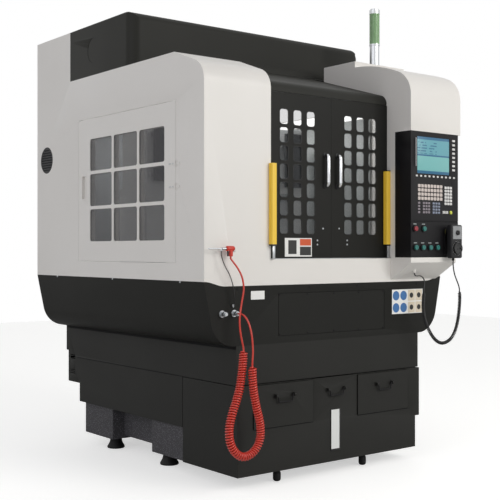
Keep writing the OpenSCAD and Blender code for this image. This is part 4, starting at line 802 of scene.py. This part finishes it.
# %% Screw tree
screw_tree, given, out = new_tree("pan_screws", {
    "Radius": "Float", "Rise": "Float", "Facing": "Rotation", "Material": "Material"})
rim = add(screw_tree, "GeometryNodeMeshCircle", {
    "Vertices": 18, "Radius": given["Radius"]}, fill_type="NGON")
hole, bottom = stepped(screw_tree, rim, ((given["Rise"], 0.86), (0.0, 0.5)))
deep = add(screw_tree, "GeometryNodeExtrudeMesh", {
    "Mesh": hole, "Selection": bottom, "Offset Scale": -0.0009}, mode="FACES")
copies = add(screw_tree, "GeometryNodeInstanceOnPoints", {
    "Points": given["Geometry"], "Instance": deep.outputs["Mesh"], "Rotation": given["Facing"]})
close_tree(screw_tree, copies, given, out)
to_front = (math.radians(90), 0, 0)
to_left = (0, math.radians(-90), 0)


def screws(name, places, facing, radius, body, material, rise=0.0018):
    """Grows one group of screws on its places, in metres."""
    grow(name, screw_tree, places, {"Radius": radius, "Rise": rise, "Facing": facing},
         material, body)


cover_rim = [at(x, -0.2, z) for x in (-326, -162, 0, 158, 322) for z in (658, 832)]
screws("cover_screws", cover_rim, to_front, 0.0042, "enclosure", black_coat)
belt_line = [at(x, -0.2, 862) for x in (-560, -150, 150, 560)]
screws("belt_screws", belt_line, to_front, 0.0045, "enclosure", black_coat)
side_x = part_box("belt_panel")[0].x
belt_side = [(side_x - 0.0002, at(0, y, 0).y, 0.893) for y in (177, 750, 1317)]
screws("belt_side_screws", belt_side, to_left, 0.0045, "enclosure", zinc)
for side, spots in (("left", ((-42, 1129), (-77, 1074), (-77, 1055))),
                    ("right", ((59, 1130), (111, 1075), (111, 1056)))):
    screws(side + "_door_screws", [(x / 1000, door_face - 0.0002, z / 1000) for x, z in spots],
           to_front, 0.0045, side + "_door", zinc)
screws("hinge_screws", [(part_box("side_door_pane")[0].x - 0.0062, at(0, y, 0).y, z)
                        for y in (228, 244, 256) for z in (1.304, 1.404)],
       to_left, 0.0032, "side_door", zinc, 0.0012)

# %% [markdown]
# ## The display
# The display is one flat lit sheet, with a strip of silver trim to its left. Its readout is rows of
# broken dashes and three bars, with no lettering: stripes of the height and width coordinates, broken
# up by a noise, so it needs no picture. It is bright enough to look lit and dim enough to keep its
# colour.

# %% Display
low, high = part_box("screen")
lcd, tree, shader, place = blank("lit_liquid_crystal", "#6BA4AA", 0.3)
parts = add(tree, "ShaderNodeSeparateXYZ", {"Vector": place})
across = add(tree, "ShaderNodeMapRange", {
    "Value": parts.outputs["X"], "From Min": low.x, "From Max": high.x})
up = add(tree, "ShaderNodeMapRange", {
    "Value": parts.outputs["Z"], "From Min": low.z, "From Max": high.z})
rows = add(tree, "ShaderNodeMath", {0: up, 1: 0.075, 2: 0.0}, operation="WRAP")
line = add(tree, "ShaderNodeMath", {0: rows, 1: 0.034}, operation="LESS_THAN")
left = add(tree, "ShaderNodeMath", {0: across, 1: 0.60}, operation="LESS_THAN")
upper = add(tree, "ShaderNodeMath", {0: up, 1: 0.72, 2: 0.18}, operation="COMPARE")
broken = add(tree, "ShaderNodeTexNoise", {"Vector": place, "Scale": 60.0, "Detail": 0.0})
dashes = add(tree, "ShaderNodeMath", {0: broken, 1: 0.45}, operation="GREATER_THAN")
inked = line
for part in (left, upper, dashes):
    inked = add(tree, "ShaderNodeMath", {0: inked, 1: part}, operation="MULTIPLY")
bars = None
for middle, half in ((0.965, 0.04), (0.50, 0.022), (0.03, 0.05)):
    bar = add(tree, "ShaderNodeMath", {0: up, 1: middle, 2: half}, operation="COMPARE")
    bars = bar if bars is None else add(tree, "ShaderNodeMath", {0: bars, 1: bar}, operation="MAXIMUM")
lower = add(tree, "ShaderNodeMath", {0: up, 1: 0.5}, operation="LESS_THAN")
field = add(tree, "ShaderNodeMix", {
    0: lower, 6: colour("#5E9AA6"), 7: colour("#72AFAE")}, data_type="RGBA")
field = add(tree, "ShaderNodeMix", {
    0: inked, 6: field.outputs[2], 7: colour("#356A84")}, data_type="RGBA")
field = add(tree, "ShaderNodeMix", {
    0: bars, 6: field.outputs[2], 7: colour("#2C6384")}, data_type="RGBA")
feed(shader, {"Base Color": field.outputs[2], "Emission Color": field.outputs[2],
              "Emission Strength": 0.12})
shape = add_block(bmesh.new(), low, high, 0.0008)
display = piece("display", shape, lcd, "enclosure")
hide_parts("screen")
trim_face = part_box("operator_panel")[0].y
shape = add_block(bmesh.new(), (0.4010, trim_face - 0.0008, 1.430), (0.4075, trim_face + 0.001, 1.566),
                  0.0004, 1)
piece("display_trim", shape, silver_abs, "enclosure")
print("display", [round(v, 3) for v in low], [round(v, 3) for v in high])

# %% [markdown]
# ## Push buttons
# A push button is a turned plastic cap with a domed face in a dark collar. The caps replace the plain
# built ones one by one, because each moves alone; the collars and the bare label strips above the
# buttons belong to the panel.

# %% Push buttons
button_names = ["red_button"] + ["teal_button_%d" % i for i in range(1, 6)]
collars, labels = bmesh.new(), bmesh.new()
for name in button_names:
    low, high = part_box(name)
    mid = (low + high) / 2
    shape = add_turned(bmesh.new(), [(0, 0), (0, 8), (19, 8), (20, 11.6), (25.5, 12), (26.8, 11.4),
                                     (27.5, 9.5),
                    (27.1, 7), (26.9, 0)], (mid.x, high.y, mid.z), FORWARD)
    cap = piece(name + "_cap", shape, red_plastic if name == "red_button" else teal_plastic,
                nodes[name]["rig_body"])
    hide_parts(name)
    add_turned(collars, [(0, 12.6), (0, 15.4), (3.4, 15.4), (4.6, 14.6), (4.6, 12.6)],
               (mid.x, panel_face - 0.0001, mid.z), FORWARD)
    add_block(labels, (mid.x - 0.011, panel_face - 0.0006, mid.z + 0.0195),
              (mid.x + 0.011, panel_face + 0.0004, mid.z + 0.0245), 0.0002, 1)
piece("button_collars", collars, dark_abs, "enclosure")
piece("button_labels", labels, label_film, "enclosure")

print("buttons with caps:", len(button_names))

# %% [markdown]
# ## The pendant
# The pendant is a hand-held box of grained plastic with soft corners, which hangs on a hook behind
# it. A rounded block is made from its own size; the lighter plate that carries the selector is let
# into its upper part. The handwheel below is a turned rim with a crank knob.

# %% Pendant
low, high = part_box("pendant_body")
bottom = at(0, 0, 990).z
bm = bmesh.new()
case_back = at(0, -151, 0).y
add_block(bm, (low.x, low.y, bottom), (high.x, case_back, high.z), 0.009, 4)
add_block(bm, ((low.x + high.x) / 2 - 0.014, case_back - 0.004, 1.070),
          ((low.x + high.x) / 2 + 0.014, high.y, 1.130), 0.003)
add_turned(bm, [(0, 6.4), (2, 6.5), (4, 5.2), (6, 6.5), (8, 5.2), (10, 6.5), (13, 6.5)],
           ((low.x + high.x) / 2, at(0, -160, 0).y, low.z), UPWARD, 24)
case = piece("pendant_case", bm, black_abs, "enclosure")
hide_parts("pendant_body")
shape = add_block(bmesh.new(), (low.x + 0.009, low.y - 0.0003, 1.083),
                  (high.x - 0.009, low.y + 0.004, 1.146), 0.0003, 1)
piece("selector_plate", shape, silver_abs, "enclosure")
shape = add_block(bmesh.new(), (0.6195, panel_face - 0.0008, 1.088),
                  (0.6235, panel_face + 0.0004, 1.132), 0.0003, 1)
piece("olive_strip", shape, olive_film, "enclosure")

wheel_low, wheel_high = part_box("handwheel")
wheel_mid = (wheel_low + wheel_high) / 2
bm = bmesh.new()
add_turned(bm, [(0, 0), (0, 4), (17.5, 4), (17.5, 29), (19, 30), (24.5, 30), (26, 29), (26, 25),
                (23.5, 23),
                (22.5, 8), (24, 6), (24, 0)], (wheel_mid.x, wheel_high.y, wheel_mid.z), FORWARD, 64)
add_turned(bm, [(22, 4.4), (25, 4.4), (29, 4.4), (30, 3.4), (30, 0)],
           (wheel_mid.x + 0.019, wheel_high.y, wheel_mid.z), FORWARD, 20)
wheel = piece("handwheel_rim", bm, dark_abs, "handwheel")
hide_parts("handwheel")

print("handwheel at", [round(v, 3) for v in wheel_mid])

# %% [markdown]
# ## Dial marks
# A ring of fine marks lies round the handwheel on the pendant's face, fifty to a turn. A mesh circle
# gives their places and a small bar is copied on each, turned outwards by its place, so the marks
# stay evenly spaced whatever their number.

# %% Mark tree
mark_tree, given, out = new_tree("dial_marks", {
    "Count": "Int", "Radius": "Float", "Material": "Material"})
circle = add(mark_tree, "GeometryNodeMeshCircle", {
    "Vertices": given["Count"], "Radius": given["Radius"]})
bar = add(mark_tree, "GeometryNodeMeshCube", {"Size": (0.002, 0.0006, 0.0004)})
index = add(mark_tree, "GeometryNodeInputIndex")
share = add(mark_tree, "ShaderNodeMath", {0: index, 1: given["Count"]}, operation="DIVIDE")
angle = add(mark_tree, "ShaderNodeMath", {0: share, 1: 2 * math.pi}, operation="MULTIPLY")
turned = add(mark_tree, "ShaderNodeCombineXYZ", {"Z": angle})
copies = add(mark_tree, "GeometryNodeInstanceOnPoints", {
    "Points": circle, "Instance": bar, "Rotation": turned})
whole = add(mark_tree, "GeometryNodeInstanceOnPoints", {
    "Points": given["Geometry"], "Instance": copies, "Rotation": (math.radians(90), 0, 0)})
close_tree(mark_tree, whole, given, out)
grow("dial_marks", mark_tree, [(wheel_mid.x, low.y - 0.0001, wheel_mid.z)],
     {"Count": 50, "Radius": 0.0335}, bare_plate, "enclosure")

bm = bmesh.new()
knob_low, knob_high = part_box("selector_knob")
knob_mid = (knob_low + knob_high) / 2
add_turned(bm, [(0, 0), (0, 3), (12.5, 3), (12.5, 12), (20, 11), (21.4, 10), (21.5, 0)],
           (knob_mid.x, knob_high.y, knob_mid.z), FORWARD, 36)
add_block(bm, (knob_mid.x - 0.003, knob_low.y, knob_mid.z - 0.0108),
          (knob_mid.x + 0.003, knob_low.y + 0.006, knob_mid.z + 0.0108), 0.0012)
knob = piece("selector_grip", bm, dark_abs, "selector_knob")
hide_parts("selector_knob")

print("selector at", [round(v, 3) for v in knob_mid])

# %% [markdown]
# ## The signal lamp
# The lamp is a stack of ribbed green rings on a metal pole. Its ribs are round rings at an even
# pitch, which a tree stacks on a plain core; the pole keeps its built shape.

# %% Lamp rings
ring_tree, given, out = new_tree("lamp_rings", {
    "Count": "Int", "Pitch": "Float", "Radius": "Float", "Rib": "Float", "Material": "Material"})
step = add(ring_tree, "ShaderNodeCombineXYZ", {"Z": given["Pitch"]})
column = add(ring_tree, "GeometryNodeMeshLine", {"Count": given["Count"], "Offset": step})
loop = add(ring_tree, "GeometryNodeCurvePrimitiveCircle", {"Resolution": 48, "Radius": given["Radius"]})
rib = add(ring_tree, "GeometryNodeCurvePrimitiveCircle", {"Resolution": 8, "Radius": given["Rib"]})
hoop = add(ring_tree, "GeometryNodeCurveToMesh", {"Curve": loop, "Profile Curve": rib})
stack = add(ring_tree, "GeometryNodeInstanceOnPoints", {"Points": column, "Instance": hoop})
whole = add(ring_tree, "GeometryNodeInstanceOnPoints", {"Points": given["Geometry"], "Instance": stack})
close_tree(ring_tree, whole, given, out)
low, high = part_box("signal_lens")
mid = (low + high) / 2
grow("lamp_ribs", ring_tree, [(mid.x, mid.y, low.z + 0.004)],
     {"Count": 26, "Pitch": 0.006, "Radius": 0.0249,
      "Rib": 0.0021}, green_lens, "enclosure", 60)
shape = add_turned(bmesh.new(), [(0, 26.4), (3, 26.4), (3, 25), (155, 25), (155, 26.4), (158, 26.4)],
           (mid.x, mid.y, low.z), UPWARD, 48)
core = piece("lamp_core", shape, green_lens, "enclosure")
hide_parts("signal_lens")

print("lamp at", [round(v, 3) for v in mid])

# %% [markdown]
# ## Door handles
# Each handle is one chromed tube, bent back to the door at both ends, with a dark rosette where it
# meets the paint. A tube along a path with a round bend gives the bright line that turns at the ends.

# %% Door handles
grip_dia, bend_r = 0.018, 0.016
for side in ("left", "right"):
    low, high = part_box(side + "_door_handle")
    x, bar_y = (low.x + high.x) / 2, low.y + grip_dia / 2
    ends = (low.z + grip_dia / 2, high.z - grip_dia / 2)
    path = []
    for z, way in ((ends[0], 1), (ends[1], -1)):
        bend = [Vector((x, bar_y + bend_r * (1 - math.sin(math.radians(a))),
                        z + way * bend_r * (1 - math.cos(math.radians(a)))))
                for a in range(0, 91, 15)]
        path.append([Vector((x, high.y - 0.0005, z))] + bend)
    grip = piece(side + "_grip", tube_mesh(side + "_grip", path[0] + list(reversed(path[1])), grip_dia,
                                           20),
                 chrome, side + "_door", 60)
    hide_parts(side + "_door_handle")
    bm = bmesh.new()
    for z in ends:
        add_turned(bm, [(0, 9.2), (0, 12.5), (2.4, 12.5), (3.4, 11), (3.4, 9.2)],
                   (x, high.y - 0.0003, z), FORWARD, 24)
    piece(side + "_rosettes", bm, black_abs, side + "_door")

print("handles, metres:", grip_dia, "across")

# %% [markdown]
# ## Light curtains
# A light curtain is an extruded yellow profile with a groove along each side and thin dark caps, one
# at each end but for the left one's top, carried by a bent angle that stands on the sill. The profile
# is drawn as an outline seen from above and pulled up in one go, because a real one is pushed through
# a die in that shape.

# %% Light curtains


def add_upright(bm, outline, low, high):
    """Pulls an outline of (x, y) points up from one height to another, in metres."""
    ring = [bm.verts.new((x, y, low)) for x, y in outline]
    top = [bm.verts.new((x, y, high)) for x, y in outline]
    bm.faces.new(list(reversed(ring)))
    bm.faces.new(top)
    for k in range(len(ring)):
        m = (k + 1) % len(ring)
        bm.faces.new((ring[k], ring[m], top[m], top[k]))


def curtain_outline(corner, width):
    """A square with rounded corners and a groove in the middle of its left and right sides."""
    r, deep, wide = 0.0035, 0.0012, 0.0016
    mid = corner + Vector((width / 2, width / 2, 0))
    points = []
    for k, (sx, sy) in enumerate(((1, 1), (-1, 1), (-1, -1), (1, -1))):
        for i in range(5):
            a = math.radians(90 * k + 22.5 * i)
            points.append((mid.x + sx * (width / 2 - r) + r * math.cos(a),
                           mid.y + sy * (width / 2 - r) + r * math.sin(a)))
        if k in (1, 3):
            side = mid.x + (width / 2) * (-1 if k == 1 else 1)
            step_in = deep if k == 1 else -deep
            ends = (1, -1) if k == 1 else (-1, 1)
            points += [(side, mid.y + ends[0] * wide), (side + step_in, mid.y + ends[0] * wide),
                       (side + step_in, mid.y + ends[1] * wide), (side, mid.y + ends[1] * wide)]
    return points


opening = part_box("door_header")
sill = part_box("door_rails")[0].z
front = at(0, 0, 0).y
curtain_w = 0.026
profile, caps, angles = bmesh.new(), bmesh.new(), bmesh.new()
for x, y, low, high, bare_top in ((opening[0].x - curtain_w / 2, front - curtain_w, sill + 0.058,
                                   sill + 0.419, True),
                                  (opening[1].x - curtain_w, front + 0.001, sill + 0.060, sill + 0.426,
                                   False)):
    corner = Vector((x, y, 0))
    add_upright(profile, curtain_outline(corner, curtain_w), low + 0.007,
                high - (0.0 if bare_top else 0.005))
    ends = (low,) if bare_top else (low, high - 0.0052)
    for z in ends:
        add_block(caps, (x + 0.0006, y + 0.0006, z), (x + curtain_w - 0.0006, y + curtain_w - 0.0006,
                                                      z + (0.0072 if z == low else 0.0052)), 0.0015)
for x, y, top in ((opening[0].x - curtain_w / 2 + 0.012, front - 0.014, sill + 0.059),
                  (opening[1].x - curtain_w + 0.006, front + 0.004, sill + 0.061)):
    add_block(angles, (x, y, sill), (x + 0.014, y + 0.0025, top), 0.0006)
    add_block(angles, (x, y, sill), (x + 0.014, y + 0.020, sill + 0.0025), 0.0006)
curtain = piece("curtain_profiles", profile, yellow_coat, "enclosure")
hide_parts("light_curtains")
piece("curtain_caps", caps, dark_abs, "enclosure")
piece("curtain_angles", angles, zinc, "enclosure")
print("curtains at x =", [round(opening[0].x, 3), round(opening[1].x, 3)])

# %% [markdown]
# ## Inside the enclosure
# What shows through the windows is the inside: grey splash guards with stiffening ribs on the right
# and rear walls, a milky work light along the top of the right wall, and black folded way covers at
# both ends of the beam. The two guards are one grey paint; the right one is made paler, as painted
# light. A cover's folds are a zigzag outline pulled up in one go, as the curtains are.

# %% Guards, work light and way covers
wall_x, wall_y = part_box("right_side_panel")[1].x - 0.003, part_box("rear_panel")[1].y - 0.003
guard_top = 1.750
bm = bmesh.new()
add_block(bm, (-wall_x + 0.014, wall_y - 0.014, 0.995), (wall_x - 0.014, wall_y - 0.011, guard_top),
          0.0008)
side_guard = bmesh.new()
add_block(side_guard, (wall_x - 0.014, at(0, 486, 0).y, 0.995),
          (wall_x - 0.011, wall_y - 0.016, guard_top), 0.0008)
for k in range(6):
    y = at(0, 600 + 160 * k, 0).y
    add_block(side_guard, (wall_x - 0.018, y, 1.02), (wall_x - 0.012, y + 0.012, guard_top - 0.02),
              0.002)
# the right wall's guard takes the paler copy of the grey: painted light
piece("side_guard", side_guard, lit_side_guard_coat, "enclosure")
for k in range(8):
    x = -0.63 + 0.18 * k
    add_block(bm, (x, wall_y - 0.018, 1.02), (x + 0.012, wall_y - 0.012, guard_top - 0.02), 0.002)
piece("rear_guard", bm, guard_coat, "enclosure")

light_mat, tree, shader, place = blank("milky_work_light", "#F2F2F0", 0.4)
glow = add(tree, "ShaderNodeTexNoise", {"Vector": place, "Scale": 3.0, "Detail": 1.0})
level = add(tree, "ShaderNodeMapRange", {"Value": glow, "To Min": 1.0, "To Max": 1.3})
feed(shader, {"Emission Color": (1, 1, 1, 1), "Emission Strength": level})
shape = add_block(bmesh.new(), (wall_x - 0.012, at(0, 490, 0).y, guard_top + 0.003),
          (wall_x - 0.002, at(0, 1290, 0).y, guard_top + 0.050), 0.004, 3)
piece("work_light", shape, light_mat, "enclosure")

beam_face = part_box("bridge")[0].y
bm = bmesh.new()
for side in (-1, 1):
    near, far, folds = side * 0.356, side * 0.488, 11
    zigzag = [(near + (far - near) * k / (2 * folds),
               beam_face - (0.052 if k % 2 else 0.044)) for k in range(2 * folds + 1)]
    outline = zigzag + [(far, beam_face - 0.023), (near, beam_face - 0.023)]
    add_upright(bm, outline if side > 0 else list(reversed(outline)), 1.372, 1.665)
piece("way_covers", bm, bellows_cloth, "enclosure", 20)
print("inside walls at x =", round(wall_x, 3), "y =", round(wall_y, 3))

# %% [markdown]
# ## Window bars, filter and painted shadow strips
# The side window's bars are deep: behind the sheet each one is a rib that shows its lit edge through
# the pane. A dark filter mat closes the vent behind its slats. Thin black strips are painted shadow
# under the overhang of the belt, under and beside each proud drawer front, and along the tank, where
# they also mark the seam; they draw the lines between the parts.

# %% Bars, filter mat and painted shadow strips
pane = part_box("side_door_pane")
rim, bar_w, bar_h = 0.012, 0.018, 0.016
cell_w = (pane[1].y - pane[0].y - 2 * rim - 2 * bar_w) / 3
cell_h = (pane[1].z - pane[0].z - 2 * rim - 2 * bar_h) / 3
bm = bmesh.new()
for i in range(4):
    y = pane[0].y + rim - bar_w + i * (cell_w + bar_w)
    y0, y1 = max(y, pane[0].y), min(y + bar_w, pane[1].y)
    add_block(bm, (pane[1].x + 0.0003, y0, pane[0].z), (pane[1].x + 0.023, y1, pane[1].z), 0.0008)
for k in range(4):
    z = pane[0].z + rim - bar_h + k * (cell_h + bar_h)
    z0, z1 = max(z, pane[0].z), min(z + bar_h, pane[1].z)
    add_block(bm, (pane[1].x + 0.0004, pane[0].y, z0), (pane[1].x + 0.020, pane[1].y, z1), 0.0008)
piece("window_bars", bm, white_coat, "side_door")

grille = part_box("vent_grille")
mid = (grille[0] + grille[1]) / 2
shape = add_turned(bmesh.new(), [(0, 68), (5, 68), (6, 66), (6.4, 40), (6, 0)],
                   (grille[1].x + 0.0005, mid.y, mid.z),
           RIGHTWARD, 48)
piece("filter_mat", shape, filter_pad, "enclosure")

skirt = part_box("skirt")
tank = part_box("coolant_tank")
belt_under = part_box("belt_panel")[0].z
# black strips in the bellows' cloth stand for shadow: painted shadow under the belt and the drawer
# fronts, and on the tank seam
bm = bmesh.new()
for side, x in ((-1, skirt[0].x), (1, skirt[1].x)):
    outer, inner = min(x, x + side * 0.0012), max(x, x + side * 0.0012)
    add_block(bm, (outer, skirt[0].y + 0.004, belt_under - 0.015),
              (inner, skirt[1].y - 0.010, belt_under - 0.0005), 0.0003, 1)
    add_block(bm, (outer, tank[1].y + 0.010, tank[1].z + 0.001),
              (inner, at(0, 1414, 0).y, tank[1].z + 0.0045), 0.0003, 1)
for drawer in ("left_drawer", "right_drawer"):
    low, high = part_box(drawer)
    face = at(0, -9, 0).y
    add_block(bm, (low.x, face - 0.0012, low.z - 0.0042), (high.x + 0.004, face, low.z - 0.0008),
              0.0003, 1)
    add_block(bm, (high.x + 0.0008, face - 0.0012, low.z - 0.004),
              (high.x + 0.0036, face, high.z - 0.004), 0.0003, 1)
piece("painted_shadow_strips", bm, bellows_cloth, "enclosure")
print("window cells", round(cell_w, 3), "by", round(cell_h, 3))

# %% [markdown]
# ## The air gun
# The gun is a moulded red grip with a thin plated nozzle that lies across the front. It is turned
# from profiles around its two axes; the nozzle and its tee are a piece of their own in zinc.

# %% Air gun
gun = at(-619, -30, 1036)
bm = bmesh.new()
add_turned(bm, [(0, 0), (0, 8), (2, 10.2), (5, 11), (34, 11), (38, 10), (41, 7), (42, 0)],
           gun - Vector((0.023, 0, 0)), RIGHTWARD, 28)
add_turned(bm, [(0, 6), (0, 7.5), (2, 9.2), (26, 9.4), (33, 8.5), (33, 0)], gun - Vector((0, 0, 0.033)),
           UPWARD, 24)
body = piece("gun_body", bm, gun_plastic, "enclosure")
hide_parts("air_gun")
bm = bmesh.new()
add_turned(bm, [(0, 0), (0, 2), (4, 2), (5, 3), (71, 3), (71, 5), (93, 5), (93, 0)],
           gun - Vector((0.116, 0, 0)), RIGHTWARD, 20)
add_turned(bm, [(0, 3.5), (10, 3.5)], Vector((at(-668, 0, 0).x, gun.y, 1.026)), UPWARD, 16)
add_turned(bm, [(0, 1.5), (12, 1.5)], gun + Vector((-0.014, -0.006, -0.010)), (0, 1, 0), 12)
nozzle = piece("gun_nozzle", bm, zinc, "enclosure")

print("air gun at", [round(v, 3) for v in gun])

# %% [markdown]
# ## The cords
# The cords are made above, each swept along its route, with its length printed there.

print("cords made above")

# %% [markdown]
# ## Feet
# The machine stands on turned levelling feet that widen to a broad pad; the smaller four have
# rounded soles. All are turned shapes, so a lathe profile describes each fully.

# %% Feet
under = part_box("base_casting")[0].z * 1000
bm = bmesh.new()
for x in (-490, 490):
    for y in (632, 1137):
        add_turned(bm, [(0, 42), (2, 45), (9, 45), (14, 42), (28, 34), (44, 30), (under, 30)],
                   at(x, y, 0), UPWARD, 40)
for x in (-303, 229):
    for y in (48, 345):
        add_turned(bm, [(0, 6), (1, 10), (4, 15), (9, 17.5), (16, 18), (36, 18), (42, 16), (48, 12),
                        (under, 12)],
                   at(x, y, 0), UPWARD, 32)
feet = piece("turned_feet", bm, foot_rubber, "enclosure")
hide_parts("feet")
print("feet up to", round(under), "mm")

# %% [markdown]
# ## Level gauge and bare plates
# The tank's gauge is a white plate on a dark block that shows below it and to its right; that dark
# border is painted shade, standing for the shade of a recess round the plate. The other plates carry
# nothing: they are thin, with a plain face, and the safety fields are plain colours.

# %% Gauge and plates
low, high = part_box("level_gauge")
# the dark block that shows round the white plate is painted shade of a recess
shape = add_block(bmesh.new(), low, high, 0.0010)
gauge = piece("gauge_shaded_block", shape, dark_abs, "enclosure")
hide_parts("level_gauge")
shape = add_block(bmesh.new(), (low.x + 0.001, low.y - 0.0006, low.z + 0.009),
          (high.x - 0.008, low.y + 0.001, high.z - 0.001), 0.0004, 1)
piece("gauge_plate", shape, gauge_white, "enclosure")

plates = (("belt_plate_left", bare_plate, (-488, -413), (816, 853), 0.0),
          ("belt_plate_right", bare_plate, (383, 602), (718, 837), 0.0))
for name, material, xs, zs, depth in plates:
    shape = add_block(bmesh.new(), at(xs[0], depth - 0.9, zs[0]), at(xs[1], depth, zs[1]), 0.0003, 1)
    piece(name, shape, material, "enclosure")
rounds, tiles, dots = bmesh.new(), bmesh.new(), bmesh.new()
for z in (748, 807):
    for x in (411, 464):
        add_turned(rounds, [(0, 23), (0.5, 23), (0.5, 0)], at(x, -0.8, z), FORWARD, 28)
    for x in (520, 573):
        add_block(tiles, at(x - 24.5, -1.2, z - 27), at(x + 24.5, -0.8, z + 27), 0.0002, 1)
        add_turned(dots, [(0, 13), (0.4, 13), (0.4, 0)], at(x, -1.1, z), FORWARD, 20)
for name, bm, material in (("safety_rounds", rounds, plate_blue), ("safety_tiles", tiles, plate_cream),
                           ("safety_dots", dots, plate_dark)):
    piece(name, bm, material, "enclosure")
for name, material, xs, zs, depth in (
        ("door_plate", bare_plate, (-272, -111), (1000, 1084), 29.2),
        ("door_plate_dark", plate_dark, (-252, -203), (1012, 1074), 28.9),
        ("door_plate_warm", plate_orange, (-183, -116), (1050, 1080), 28.9),
        ("door_plate_foot", plate_dark, (-183, -116), (1006, 1045), 28.9)):
    shape = add_block(bmesh.new(), at(xs[0], depth, zs[0]), at(xs[1], 30.1, zs[1]), 0.0003, 1)
    piece(name, shape, material, "left_door")
print("plates made")
